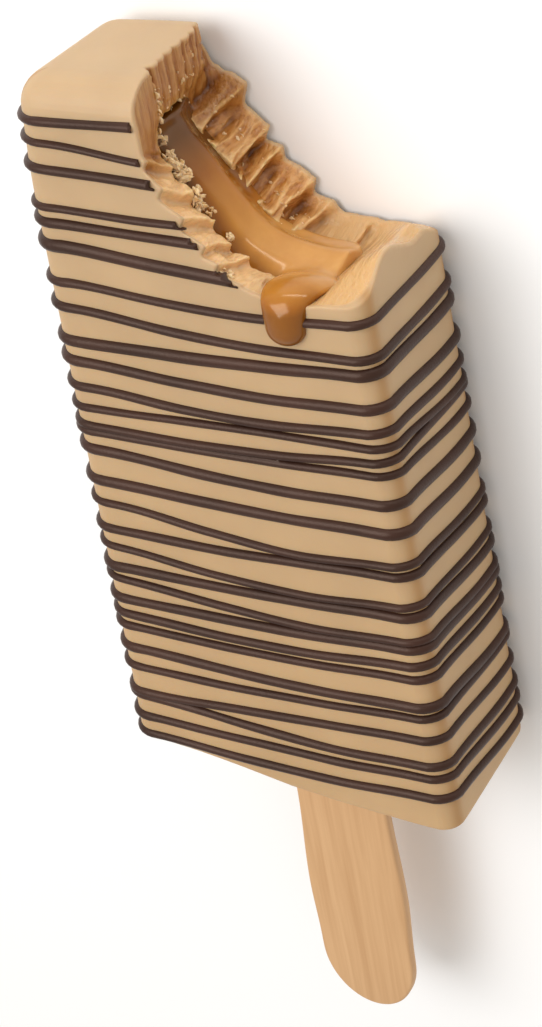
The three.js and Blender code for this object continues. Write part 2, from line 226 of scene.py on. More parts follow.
OVER_THE_BAR = (0, 0.02, 0.01)
IN_THE_BITE = (0, 0.06, 0.013)
make_light("key", (-0.24, 0.36, 0.7), OVER_THE_BAR, width=0.6, height=0.6, power=4.7)
make_light("low", (0.08, 0.58, 0.12), IN_THE_BITE, width=0.6, height=0.05, power=0.7)
make_sky(colour=(1.0, 0.965, 0.92), strength=0.66)
bpy.context.scene.view_settings.view_transform = "Standard"

# %% [markdown]
# ## The bite
#
# A bite is the print of the teeth in a frozen block: a wall beside the tip, a floor that curves down
# and out to the right side, and along both a row of tooth marks. It is described by three lines of
# stations, on the front rim, on the deepest line and on the back rim, with a smooth surface between
# them. A row of balls could cut the bite too, but every tooth would then leave the same round mark.

# %% Bite lines
FRONT_RIM = [(-5.5, 128), (-5.2, 115), (-4.8, 109), (-4.4, 105), (-2.6, 99.8), (0.9, 94.5),
             (3.6, 90.6), (8, 88), (14, 86.7), (18.5, 87.2), (22, 87.4), (25, 87.6), (40, 88.5)]
DEEP_LINE = [(-4.6, 128), (-4.8, 115), (-5.4, 109), (-7.4, 104), (-4.4, 99.5), (-1.5, 94.5),
             (1.6, 90.3), (6.2, 86.9), (13, 85.2), (18.5, 86.4), (22.3, 89.4), (25.2, 88.8), (40, 88)]
BACK_RIM = [(-8.5, 128), (-7.6, 114), (-6.9, 110.6), (-5.3, 107.2), (-2.9, 102), (-0.8, 97),
            (2.9, 93), (7, 88), (12, 86.2), (18, 86), (23, 85.4), (27.5, 84.6), (40, 83)]
LAST_STATION = len(FRONT_RIM) - 1
# A point outside the bitten corner, towards which the bite's surface is raised
HUB = Vector((60.0, 150.0))


def curve(p1, p2, m1, m2, t):
    """Point on a smooth curve between two points with a slope at each, at a share t of the way."""
    return ((2 * t**3 - 3 * t**2 + 1) * p1 + (t**3 - 2 * t**2 + t) * m1
            + (3 * t**2 - 2 * t**3) * p2 + (t**3 - t**2) * m2)


def station_line(line, station):
    """Point at a station, whole or not, on a smooth curve through a line's stations."""
    i = int(clamp(math.floor(station), 0, len(line) - 2))
    p0, p1, p2, p3 = (Vector(line[int(clamp(k, 0, len(line) - 1))]) for k in (i - 1, i, i + 1, i + 2))
    return curve(p1, p2, (p2 - p0) / 2, (p3 - p1) / 2, station - i)


def away(point, distance):
    """A point moved out of the bar, towards the hub."""
    return point + (HUB - point).normalized() * distance


print("bite lines of", LAST_STATION + 1, "stations")

# %% Bite surface
DEEP_SHARE = -0.5
SLOPE_POWER = 1.3
SHOULDER_HEIGHT = 3.8
SHOULDER_STATIONS = (8.5, 9.15)
SHOULDER_RISE = (0.1, 0.6)
SHOULDER_FALL = (0.6, 1)


def smooth_bite(station, share):
    """The bite without relief, at a station and a depth share from -1, back, to 1, front."""
    to_front = share > DEEP_SHARE
    rim = station_line(FRONT_RIM if to_front else BACK_RIM, station)
    way = (share - DEEP_SHARE) / ((1 if to_front else -1) - DEEP_SHARE)
    spot = station_line(DEEP_LINE, station).lerp(rim, way**SLOPE_POWER)
    if not to_front:
        return spot
    shoulder = smooth(way, *SHOULDER_RISE) * (1 - smooth(way, *SHOULDER_FALL))
    return away(spot, SHOULDER_HEIGHT * shoulder * smooth(station, *SHOULDER_STATIONS))


print("deepest point of the bite", min(y for x, y in DEEP_LINE if x < TIP_WIDTH / 2), "mm above the base")

# %% [markdown]
# ## The torn surface
#
# Teeth leave steps: each mark rises slowly to a crest and drops sharply after it, so the bite looks
# like a row of shingles. On the wall beside the tip, the upper teeth left upright ridges, which end
# in a ragged edge, with a smooth strip in front of them. Over all this lie small facets and fibres.
# Such relief could be sculpted by hand. Here it is a height over the smooth bite, added up from
# rows of marks, random cells and stretched noise, so that each kind can be set by itself.

# %% Tooth marks
# Each crest's station and its height in millimetres
BACK_MARKS = [(2.75, 0.5), (3.6, 2.0), (4.75, 1.9), (5.35, 1.3), (6.45, 1.8), (7.1, 1.1), (8.2, 0.5),
              (9.2, 0.3)]
FRONT_MARKS = [(2.6, 0.2), (3.05, 0.8), (3.8, 1.1), (4.55, 1.1), (5.3, 1.0), (5.95, 0.9), (6.8, 0.4)]
RISE_POWER = 0.8
SHINGLE_DROP = 0.12


def mark_height(marks, station, drop, low, dip):
    """Height of a row of tooth marks, each a crest's station and height. After a crest the height
    drops within a share of the way to the next one, and stays low up to another share, at a dip."""
    for (start, last), (end, height) in zip(marks, marks[1:]):
        if start <= station < end:
            t = (station - start) / (end - start)
            rise = clamp((t - low) / (1 - low)) ** RISE_POWER
            fall = smooth(t, 0, drop)
            return last * (1 - fall) + height * rise - dip * fall * (1 - rise)
    return 0.0


def shingles(value):
    """A row of shingles, one for each whole number: a sharp drop from 1 to 0, then a slow rise."""
    t = value % 1
    return 1 - t / SHINGLE_DROP if t < SHINGLE_DROP else (t - SHINGLE_DROP) / (1 - SHINGLE_DROP)


print(len(BACK_MARKS), "crests on the back rim and", len(FRONT_MARKS), "on the front rim")

# %% Facets and ridges
WALL_COLUMNS = [-0.83, -0.62, -0.47, -0.3, -0.13, 0.05, 0.2, 0.35]
CELL_SHIFT = 3.7
CELL_TILT = (1.6, 1.2)


def waver(x, y, seed):
    """Smooth noise on a plane, about -1 to 1; each seed gives another pattern."""
    return noise.noise(Vector((x, y, seed)))


def facets(x, y, seed):
    """Broken facets: each cell of a random pattern has its own height and tilt, about -1 to 1."""
    spot = Vector((x, y, seed))
    centre = noise.voronoi(spot)[1][0]
    cell = noise.cell_vector(centre * CELL_SHIFT)
    lean = spot - centre
    tilt = (cell.y - 0.5) * CELL_TILT[0] * lean.x + (cell.z - 0.5) * CELL_TILT[1] * lean.y
    return cell.x - 0.5 + tilt


def wall_columns(share):
    """Round upright ridges between sharp grooves."""
    for low, high in zip(WALL_COLUMNS, WALL_COLUMNS[1:]):
        if low <= share < high:
            t = (share - low) / (high - low)
            return math.sqrt(max(0.0, 1 - (2 * t - 1) ** 2))
    return 0.0


print(len(WALL_COLUMNS) - 1, "upright ridges on the wall")

# %% Relief of the wall
HALF_DEPTH = 12.0
RAGGED_AT = 0.42
RAGGED_SOFT = 0.025
COLUMN_HEIGHT = 0.95
COLUMNS_SET_BACK = 1.15
STRIP_PROUD = 0.25
STRIP_BULGE = 0.35


def wall_relief(station, share):
    """The wall beside the tip: a smooth strip in front, then ridges set back behind a ragged edge."""
    depth = share * HALF_DEPTH
    ragged = RAGGED_AT + 0.06 * waver(station * 3.1, 0.2, 7.7) + 0.05 * waver(station * 11, 1.2, 3.3)
    strip = smooth(share, ragged - RAGGED_SOFT, ragged + RAGGED_SOFT)
    sway = 0.05 * waver(station * 1.3, 2.2, 1.1)
    columns = COLUMN_HEIGHT * wall_columns(share + sway) - COLUMNS_SET_BACK
    columns += 0.3 * facets(station * 2.4, depth * 0.5, 4.2)
    fibres = (0.14 - 0.1 * strip) * waver(station * 1.2 - share * 1.5, depth * 3.4, 9.5)
    fibres += 0.05 * waver(station * 2.2, depth * 7.5, 2.5)
    bulge = STRIP_BULGE * math.sin(math.pi * clamp((share - RAGGED_AT) / (1 - RAGGED_AT)))
    return mix(columns, STRIP_PROUD + bulge, strip) + fibres


print("ridges", COLUMN_HEIGHT, "mm high on the wall")

# %% Relief of the floor
BACK_FADE = (-0.66, -0.22)
FRONT_FADE = (0.2, 0.55)
RIM_SHARES = (0.8, 0.97)
# How many stations a mark leans for each share of the depth, and the share where it's in place
BACK_LEAN = (0.4, -0.75)
FRONT_LEAN = (1.5, 0.95)
BACK_DIP = 1.2
FRONT_DIP = 0.4
TORN_ENDS = (7.0, 8.0)
TORN_SET_BACK = 0.45


def tooth_marks(station, share, to_back, to_front, rim):
    """Both rows of tooth marks, each faded out towards the caramel."""
    at_back = station + BACK_LEAN[0] * (share - BACK_LEAN[1]) * to_back
    at_front = station + FRONT_LEAN[0] * (share - FRONT_LEAN[1]) * to_front
    height = mark_height(BACK_MARKS, at_back, 0.12 + 0.2 * rim, 0.36, BACK_DIP * (1 - rim)) * to_back
    return height + mark_height(FRONT_MARKS, at_front, 0.15, 0.3, FRONT_DIP) * to_front


def floor_relief(station, share):
    """The diagonal and the floor: tooth marks, then shingles and fibres that run through the bar."""
    depth = share * HALF_DEPTH
    bend = 0.1 * waver(station * 1.6, depth * 0.3, 6.1)
    to_back = 1 - smooth(share + 0.14 * waver(station * 2.3, 0.6, 2.9), *BACK_FADE)
    to_front = smooth(share, *FRONT_FADE)
    rim = smooth(abs(share), *RIM_SHARES)
    height = tooth_marks(station + bend, share, to_back, to_front, rim)
    grainy = smooth(station, *TORN_ENDS)
    torn = (1 - grainy) * (1 - 0.75 * rim) * (1 - 0.65 * to_front)
    warp = waver(station * 0.8, depth * 0.22, 1.7)
    patch = smooth(waver(station * 1.1, depth * 0.18, 4.4), -0.35, 0.35)
    height += torn * (0.15 + 0.45 * patch) * shingles(station * 2.6 + 0.9 * warp)
    height += torn * 0.2 * shingles(station * 9 + 1.3 * waver(station, depth * 0.4, 8.3))
    height += torn * 0.35 * facets(station * 1.9 + bend, depth * 0.16, 1.7)
    height += torn * 1.1 * to_front * facets(station * 2.6, depth * 0.45, 8.8)
    height += (0.03 + 0.05 * torn) * waver(station * 24 + 4 * bend, depth * 0.35, 5.5)
    grains = 0.16 * waver(station * 11, depth * 2.2, 3.9) + 0.1 * waver(station * 25, depth * 4.5, 7.9)
    return height - TORN_SET_BACK * to_back * torn + grainy * grains


print("tooth marks up to", max(height for station, height in BACK_MARKS), "mm high")

# %% The whole torn surface
WALL_ENDS = (2.7, 3.3)
MELTED_STATIONS = (8.4, 9.2)
MELTED_SHARES = (0.0, 0.4)
MELTED_AWAY = 0.85


def bite_relief(station, share):
    """Height of the torn surface over the smooth bite, in millimetres."""
    wall = 1 - smooth(station, *WALL_ENDS)
    melted = smooth(station, *MELTED_STATIONS) * smooth(share, *MELTED_SHARES)
    height = wall * wall_relief(station, share) if wall > 0 else 0.0
    if wall < 1:
        height += (1 - wall) * floor_relief(station, share)
    return height * (1 - MELTED_AWAY * melted)


def torn_bite(station, share):
    share = clamp(share, -1, 1)
    return away(smooth_bite(station, share), bite_relief(station, share))


THREAD_SETBACKS = (2.0, 0.0)
THREAD_LEVELS = (85.2, 86.6)
THREAD_JAG = 0.8
LEVEL_STATIONS = (8.2, 8.8)


def broken_threads(station, share):
    """The surface where the threads break off, short of the bite, and level along the shoulder."""
    share = clamp(share, -1, 1)
    to_front = (share + 1) / 2
    jag = THREAD_JAG * waver(station * 7, share * 9, 0.7)
    spot = away(smooth_bite(station, share), jag - mix(*THREAD_SETBACKS, to_front))
    spot.y = mix(spot.y, mix(*THREAD_LEVELS, to_front), smooth(station, *LEVEL_STATIONS))
    return spot


print("threads break off up to", max(THREAD_SETBACKS), "mm short of the bite")

# %% [markdown]
# ## A cutting tool from a surface
#
# A Boolean needs a closed tool. Displacing a plane would move its points in one direction only, and
# the bite folds back under itself. So a fine grid is moved point by point onto the surface, and a
# copy of it, extruded towards the hub, closes the tool away from the bar.

# %% Tool from a surface
OVERRUN = 1.35
BITE_MIDDLE_Y = 90.3
NEAR_HUB = 0.97
BITE_STEPS = ((420, 170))
THREAD_STEPS = (300, 70)


def tool_above(name, surface, steps, slices):
    """A closed tool that takes away everything above a surface of stations and depth shares."""
    bm = bmesh.new()
    bmesh.ops.create_grid(bm, x_segments=steps, y_segments=slices, size=0.5)
    raised = bmesh.ops.extrude_face_region(bm, geom=bm.faces[:], use_keep_orig=True)
    top = {v for v in raised["geom"] if isinstance(v, bmesh.types.BMVert)}
    for vert in bm.verts:
        share = 2 * OVERRUN * vert.co.y
        spot = surface((vert.co.x + 0.5) * LAST_STATION, share)
        if vert in top:
            spot = spot.lerp(HUB, NEAR_HUB)
        vert.co = place(spot.x, spot.y, middle_z(BITE_MIDDLE_Y) + share * HALF_DEPTH)
    bmesh.ops.recalc_face_normals(bm, faces=bm.faces[:])
    return new_piece(name, bm)


bite_tool = tool_above("bite_tool", torn_bite, *BITE_STEPS)
print("bite tool", triangles(bite_tool), "triangles")

# %% [markdown]
# ## The block of ice cream
#
# The bar is moulded, so it is a tapered block with round edges, nearly sharp at the base. It starts
# as a cube whose corners are moved, then its edges are bevelled. A bevel modifier gives one radius
# everywhere, while the long edges here are tighter than those round the tip, and the tip's left
# back corner is worn. So edge loops are cut in, and the vertices are moved. The base edge rises to
# the left.

# %% Shape of the block
# Across the bar, and how far the base edge lies above the base, in millimetres
BASE_EDGE = [(34, -1.2), (26, -1.1), (17, -0.8), (8, -0.3), (0, 0.5), (-8.4, 2), (-15, 3),
             (-21, 3.5), (-27, 3.7), (-34, 3.8)]
TIGHTER_BY = 1.2
TIGHTER_END = 3.0
WORN_BY = 1.6
WORN_RUN = 16.0


def base_rise(x):
    xs, ys = zip(*reversed(BASE_EDGE))
    return float(np.interp(x, xs, ys))


def tighter(x, y, z):
    """A place on the bar, moved out where the long edges are tighter than those round the tip."""
    up = z - middle_z(y)
    dx = abs(x) - (width_at(y) / 2 - SIDE_RADIUS)
    dz = abs(up) - (thickness_at(y) / 2 - SIDE_RADIUS)
    if dx <= 0 or dz <= 0:
        return x, z
    reach = math.hypot(dx, dz)
    by = TIGHTER_BY * (1 - smooth(y, BAR_LENGTH - WORN_RUN, BAR_LENGTH - TIGHTER_END))
    by *= min(reach / SIDE_RADIUS, 1)
    return x + math.copysign(by * (1 - dx / reach), x), z + math.copysign(by * (1 - dz / reach), up)


def worn(x, y, z):
    """A place on the bar with tighter long edges, moved in where the tip's left back corner is
    worn rounder."""
    x, z = tighter(x, y, z)
    left = clamp(-2 * x / width_at(y))
    back = clamp((front_z(y) - z) / thickness_at(y))
    by = WORN_BY * left**2 * back * smooth(y, BAR_LENGTH - WORN_RUN, BAR_LENGTH)
    return place(x + by, y - by / 2, z)


rise = base_rise(-BASE_WIDTH / 2) - base_rise(BASE_WIDTH / 2)
print("base edge rises", round(rise, 1), "mm to the left")

# %% Block
BASE_RADIUS = 0.8
BASE_BAND = 2.0
LOOPS_X = range(-24, 25, 4)
LOOPS_Y = (10, 99, 103, 107)
LOOPS_Z = (6, 12, 18)


def bevel(bm, edges, radius, segments):
    bmesh.ops.bevel(bm, geom=edges, offset=radius * MM, offset_type="OFFSET", segments=segments,
                    profile=0.5, affect="EDGES", material=-1)


def edges_at(bm, y, within):
    """The edges whose ends lie at a place along the bar, within a distance in millimetres."""
    return [e for e in bm.edges if all(abs(v.co.y - y) < within * MM for v in e.verts)]


def cut_loops(bm):
    """Cuts edge loops into the flat faces, so that they can bend where the vertices are moved."""
    cuts = [(Vector((x * MM, 0, 0)), Vector((1, 0, 0))) for x in LOOPS_X]
    cuts += [(place(0, y, 0), Vector((0, 1, 0))) for y in LOOPS_Y]
    cuts += [(place(0, 0, z), Vector((0, 0, 1))) for z in LOOPS_Z]
    for spot, normal in cuts:
        bmesh.ops.bisect_plane(bm, geom=bm.verts[:] + bm.edges[:] + bm.faces[:], plane_co=spot,
                               plane_no=normal)


def bar_block():
    bm = bmesh.new()
    bmesh.ops.create_cube(bm, size=1.0)
    for vert in bm.verts:
        y = BAR_LENGTH * (vert.co.y + 0.5)
        vert.co = place(vert.co.x * width_at(y), y, middle_z(y) + vert.co.z * thickness_at(y))
    at_base = place(0, 0, 0).y
    base = edges_at(bm, at_base, 1.0)
    bevel(bm, [e for e in bm.edges if e not in base], SIDE_RADIUS, 8)
    bevel(bm, edges_at(bm, at_base, 0.01), BASE_RADIUS, 3)
    cut_loops(bm)
    for vert in bm.verts:
        if vert.co.y < at_base + BASE_BAND * MM:
            vert.co.y += base_rise(vert.co.x / MM) * MM
        x, y, z = vert.co / MM
        vert.co = worn(x, y + ORIGIN_Y, z)
    bmesh.ops.recalc_face_normals(bm, faces=bm.faces[:])
    return new_piece("ice_cream_body", bm)


body = bar_block()
print("block", triangles(body), "triangles")

# %% [markdown]
# ## The filling's core and its hollow
#
# How far the filling runs inside the bar can't be seen, so it is a plain flat core with round
# corners, from a bevelled cube. The hollow in the ice cream could be cut with the filling itself,
# but it's the same block, a hair larger, and smaller at the back and the right, so that the torn
# ice cream closes over the caramel there.

# %% Filling's core
CORE_WIDTH = 35.0
CORE_MIDDLE = -1.0
CORE_THICKNESS = 12.6
CORE_FOOT = 58.0
CORE_TOP = 106.5
CORE_CORNER = 8.0
CORE_EDGE = 3.4
CORE_SHARP = 1.2
CORE_GAP = 0.1
HOLLOW_ABOVE_CORE = 0.6
HOLLOW_IN = (2.4, 1.8)


def sharp_edges(bm, angle):
    """The edges between two faces that meet at more than an angle, in radians."""
    return [e for e in bm.edges if len(e.link_faces) == 2 and e.calc_face_angle(0) > angle]


def core_block(name, grow=0.0, above=0.0, back_in=0.0, right_in=0.0):
    """The flat core of the filling, with round corners and edges, or the hollow that it lies in."""
    bm = bmesh.new()
    bmesh.ops.create_cube(bm, size=1.0)
    foot, top = CORE_FOOT - grow, CORE_TOP + above + grow
    for vert in bm.verts:
        y = mix(foot, top, vert.co.y + 0.5)
        z = middle_z(y) + vert.co.z * (CORE_THICKNESS + 2 * grow)
        x = CORE_MIDDLE + vert.co.x * (CORE_WIDTH + 2 * grow)
        if vert.co.z < 0:
            z += back_in
        if vert.co.x > 0:
            x -= right_in
        vert.co = place(x, y, z)
    upright = [e for e in bm.edges if abs(e.verts[0].co.z - e.verts[1].co.z) > CORE_THICKNESS / 2 * MM]
    bevel(bm, upright, CORE_CORNER, 8)
    bevel(bm, sharp_edges(bm, CORE_SHARP), CORE_EDGE, 5)
    bmesh.ops.recalc_face_normals(bm, faces=bm.faces[:])
    return new_piece(name, bm)


hollow = core_block("hollow_core", CORE_GAP, HOLLOW_ABOVE_CORE, *HOLLOW_IN)
print("hollow", triangles(hollow), "triangles")

# %% [markdown]
# ## Cut the body and give it one skin
#
# The bite and the hollow are cut with Booleans, which leave long thin faces and hard rims. A bevel
# fails on such rims, so a voxel remesh gives the body one even skin instead. It rounds the rims
# like thawing ice cream, and a decimation then thins the faces where they're flat.

# %% Skin helpers
def remesh(piece, voxel):
    """One even skin over a piece, of cells so many millimetres wide."""
    modifier = piece.modifiers.new("skin", "REMESH")
    modifier.mode = "VOXEL"
    modifier.voxel_size = voxel * MM
    apply_modifiers(piece)


def relax(piece, rounds, factor=0.5, within=None):
    """Smooths a piece, or only its part within a ball, which is a centre and a radius."""
    bm = bmesh.new()
    bm.from_mesh(piece.data)
    verts = [v for v in bm.verts if within is None or (v.co - within[0]).length < within[1]]
    for _ in range(rounds):
        bmesh.ops.smooth_vert(bm, verts=verts, factor=factor, use_axis_x=True,
                              use_axis_y=True, use_axis_z=True)
    bm.to_mesh(piece.data)
    bm.free()


def thin_out(piece, most):
    """Thins a piece to so many triangles, where it has more."""
    if triangles(piece) > most:
        thin = piece.modifiers.new("thin", "DECIMATE")
        thin.ratio = most / triangles(piece)
        apply_modifiers(piece)


# %% Ice cream body
BODY_VOXEL = 0.22
BODY_EASE = 0.4
BODY_TRIANGLES = 190000

boolean(body, bite_tool, "DIFFERENCE")
boolean(body, hollow, "DIFFERENCE")
discard(bite_tool, hollow)
print("cut body", triangles(body), "triangles")
remesh(body, BODY_VOXEL)
relax(body, 1, BODY_EASE)
print("skinned body", triangles(body), "triangles")
thin_out(body, BODY_TRIANGLES)
print("thinned body", triangles(body), "triangles")

# %% [markdown]
# ## Drizzle threads
#
# A thin stream of dark coating was laid round the bar in one long wandering line. Each thread is a
# ring: a circle spun into a torus, whose vertices are then moved onto the bar's section at the
# heights where the thread runs. A curve with a bevel would do too, but its section would have to be
# turned to lie flat on the bar. Threads that touch are joined by a Boolean union, so that they merge
# as they did when they were wet, and the bite cuts them.

# %% Threads' heights
# Heights above the base at the front left, inner left, inner right, right corner and right rear,
# then the thread's width, in millimetres.
THREADS = [
    (109.5, 109.9, 110.0, 109.8, 109.2, 1.45),
    (106.4, 105.1, 104.6, 104.6, 104.0, 1.1),
    (102.6, 102.0, 101.9, 102.0, 101.0, 1.5),
    (96.9, 96.5, 96.7, 97.0, 96.0, 1.2),
    (94.6, 94.2, 94.1, 94.2, 93.0, 1.6),
    (91.1, 90.0, 89.2, 89.2, 88.4, 2.0),
    (85.5, 84.5, 84.1, 84.9, 84.2, 1.4),
    (81.5, 80.1, 79.4, 79.7, 78.8, 1.5),
    (76.2, 76.3, 76.7, 77.5, 76.2, 2.0),
    (73.0, 72.0, 71.7, 72.2, 70.4, 1.75),
    (68.7, 67.7, 67.6, 68.5, 66.5, 1.5),
    (65.3, 65.8, 66.1, 66.1, 63.5, 1.3),
    (62.3, 62.2, 62.7, 64.0, 62.7, 1.4),
    (61.3, 61.2, 61.4, 61.8, 59.4, 1.4),
    (58.2, 57.2, 56.8, 57.1, 54.9, 1.85),
    (52.8, 52.3, 52.2, 52.5, 50.0, 1.9),
    (48.9, 47.2, 46.2, 47.1, 44.7, 1.35),
    (44.3, 44.2, 44.8, 45.3, 42.7, 1.6),
    (41.0, 39.5, 39.2, 40.2, 37.9, 1.3),
    (37.3, 37.4, 37.8, 38.4, 35.6, 1.8),
    (35.1, 33.9, 33.4, 34.2, 31.6, 1.4),
    (31.4, 31.6, 32.0, 32.9, 30.3, 1.8),
    (28.5, 28.2, 28.6, 29.9, 27.3, 1.6),
    (26.3, 26.3, 26.7, 27.5, 24.8, 1.5),
    (22.0, 21.6, 21.8, 22.5, 19.5, 1.75),
    (18.4, 18.6, 19.4, 20.5, 18.2, 1.45),
    (13.3, 14.4, 15.4, 16.5, 13.6, 1.6),
    (12.6, 11.5, 10.8, 11.6, 9.1, 1.6),
    (8.4, 8.3, 8.5, 9.2, 6.2, 1.6),
    (4.9, 4.4, 4.6, 5.5, 2.5, 1.6),
]
# The flat runs of a section, in millimetres, and the way round one with its arcs
FRONT_RUN, SIDE_RUN = 45.0, 17.0
ARC = SIDE_RADIUS * math.pi / 2
ROUND = 2 * (FRONT_RUN + SIDE_RUN) + 4 * ARC


def section_spot(way):
    """Across, up and outward normal on a section of the bar, a way in millimetres round it."""
    way %= ROUND
    sides = [(FRONT_RUN, (-1, 1), (1, 1), 90), (SIDE_RUN, (1, 1), (1, -1), 0),
             (FRONT_RUN, (1, -1), (-1, -1), -90), (SIDE_RUN, (-1, -1), (-1, 1), -180)]
    for run, start, end, angle in sides:
        if way <= run:
            t = way / run
            return mix(start[0], end[0], t), mix(start[1], end[1], t), math.radians(angle)
        way -= run
        if way <= ARC:
            return end[0], end[1], math.radians(angle) - way / SIDE_RADIUS
        way -= ARC
    return -1, 1, math.radians(90)


# How far round the section, from the front's left end, each height lies, and two more at the back
PLACES = [0.9, 16.9, 31.5, FRONT_RUN + ARC / 2, FRONT_RUN + ARC + SIDE_RUN,
          FRONT_RUN * 1.5 + 2 * ARC + SIDE_RUN, 2 * FRONT_RUN + 2.5 * ARC + SIDE_RUN]


def thread_height(measured, way):
    """Height of a thread on a smooth closed curve through its measured places."""
    left, rear = measured[0], measured[-1]
    heights = [*measured, mix(rear, left, 0.5), mix(rear, left, 0.95)]
    count = len(PLACES)

    def at(i):
        return PLACES[i % count] + ROUND * (i // count), heights[i % count]

    way = way if way >= PLACES[0] else way + ROUND
    i = count - 1
    while at(i)[0] > way:
        i -= 1
    (x0, h0), (x1, h1), (x2, h2), (x3, h3) = (at(k) for k in (i - 1, i, i + 1, i + 2))
    m1 = (h2 - h0) / (x2 - x0) * (x2 - x1)
    m2 = (h3 - h1) / (x3 - x1) * (x2 - x1)
    return curve(h1, h2, m1, m2, (way - x1) / (x2 - x1))


print(len(THREADS), "threads,", round(ROUND, 1), "mm round")

# %% One thread
THREAD_SINK = 0.2
THREAD_PROUD = RIDGE - 0.02
RING_RADIUS = 10.0
SWELL, SWELL_OFTEN = 0.07, 0.12
WANDER, WANDER_OFTEN = 0.12, 0.08


def thread_ring(number, row, steps, sides):
    """A ring of thread round the bar, by the heights and the width in its row."""
    *measured, thread_width = row
    bm = bmesh.new()
    bmesh.ops.create_circle(bm, segments=sides, radius=1.0)
    turned = Matrix.Translation((RING_RADIUS, 0, 0)) @ Matrix.Rotation(math.pi / 2, 4, "X")
    bmesh.ops.transform(bm, matrix=turned, verts=bm.verts[:])
    bmesh.ops.spin(bm, geom=bm.verts[:] + bm.edges[:], cent=(0, 0, 0), axis=(0, 0, 1),
                   angle=2 * math.pi, steps=steps, use_merge=True)
    full = (THREAD_PROUD + THREAD_SINK) * clamp(0.7 + 0.16 * thread_width, 0.8, 1)
    for vert in bm.verts:
        way = math.atan2(vert.co.y, vert.co.x) % (2 * math.pi) / (2 * math.pi) * ROUND
        out = math.hypot(vert.co.x, vert.co.y) - RING_RADIUS
        swell = 1 + SWELL * waver(way * SWELL_OFTEN, number * 7.3, 0.5)
        wander = WANDER * waver(way * WANDER_OFTEN, number * 3.1, 4.5)
        y = thread_height(measured, way) + wander + vert.co.z * thread_width / 2 * swell
        across, up, normal = section_spot(way)
        reach = SIDE_RADIUS + min(out * full * swell - THREAD_SINK, THREAD_PROUD)
        x = across * (width_at(y) / 2 - SIDE_RADIUS) + math.cos(normal) * reach
        z = middle_z(y) + up * (thickness_at(y) / 2 - SIDE_RADIUS) + math.sin(normal) * reach
        vert.co = worn(x, y, z)
    bmesh.ops.recalc_face_normals(bm, faces=bm.faces[:])
    return new_piece(f"thread_{number}", bm)


RING_STEPS = ((140, 14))
rings = [thread_ring(number, row, *RING_STEPS) for number, row in enumerate(THREADS)]
print("widest thread", max(row[-1] for row in THREADS), "mm")

# %% Join the threads
def join_all(name, pieces):
    """One Boolean union over a set of closed pieces."""
    group = bpy.data.collections.new("to_join")
    first, *others = pieces
    for piece in others:
        group.objects.link(piece)
    modifier = first.modifiers.new("join", "BOOLEAN")
    modifier.operation = "UNION"
    modifier.operand_type = "COLLECTION"
    modifier.collection = group
    modifier.solver = "MANIFOLD"
    apply_modifiers(first)
    discard(*others)
    bpy.data.collections.remove(group)
    first.name = name
    return first


drizzle = join_all("drizzle_threads", rings)
thread_tool = tool_above("thread_tool", broken_threads, *THREAD_STEPS)
boolean(drizzle, thread_tool, "DIFFERENCE")
discard(thread_tool)
print("drizzle", triangles(drizzle), "triangles")

# %% [markdown]
# ## Caramel
#
# The filling is soft, so where the bite opens it, it swells out of the hollow and runs: a smooth
# domed stream that follows the bite down to the right, and a drop that creeps over the front rim.
# A fluid simulation could pour it, but it wouldn't stop where the photograph shows it. The core,
# cut by a domed surface, and a bent drop are joined, skinned with a voxel remesh and relaxed, most
# of all at their joint, until they flow into each other.

# %% Caramel's surface
CARAMEL_CREST = [(-3, 128), (-3.6, 115), (-4.6, 109), (-6.4, 104.2), (-3.2, 99.4), (0.6, 94),
                 (3.4, 90.2), (8.2, 87.9), (14, 87), (19, 88.2), (23, 91), (26, 93), (40, 95)]
CREST_DEPTH = 1.6
BACK_DROP = 0.024
FRONT_DROP = 0.17
FOLD_AT, FOLD_WIDTH = -2.2, 1.5
GROOVE_AT, GROOVE_WIDTH, GROOVE_DEPTH = -5.2, 0.7, 0.3
WAVE = 0.3
CREST_STEPS = (90, 40)


def hump(value, middle, width):
    """A smooth hump, 1 high, round a middle value."""
    return math.exp(-((value - middle) / width) ** 2)


def caramel_surface(station, share):
    """The stream's surface: a crest, a fold and a groove along it, and a fall to both sides."""
    off_crest = share * HALF_DEPTH - CREST_DEPTH
    height = hump(off_crest, FOLD_AT, FOLD_WIDTH) - GROOVE_DEPTH * hump(off_crest, GROOVE_AT, GROOVE_WIDTH)
    height += WAVE * waver(station * 0.8, share * 5, 1.3)
    drop = BACK_DROP if off_crest < 0 else FRONT_DROP
    return away(station_line(CARAMEL_CREST, station), height - drop * off_crest**2)


print("caramel's crest", CREST_DEPTH, "mm in front of the bar's middle")

# %% Drop
DROP_WIDTH = 6.6
DROP_PROUD = 2.2
DROP_ROOT_PROUD = 1.8
DROP_ROOT_DIP = 0.3
DROP_LOWEST = 80.6
DROP_BEND_AT = 86.2
DROP_BEND_RADIUS = 1.8
DROP_INNER_RADIUS = 0.6
DROP_ROOT = 7.0
DROP_X = 12.7
DROP_LEAN = 1.6
DROP_SPREAD = 0.65


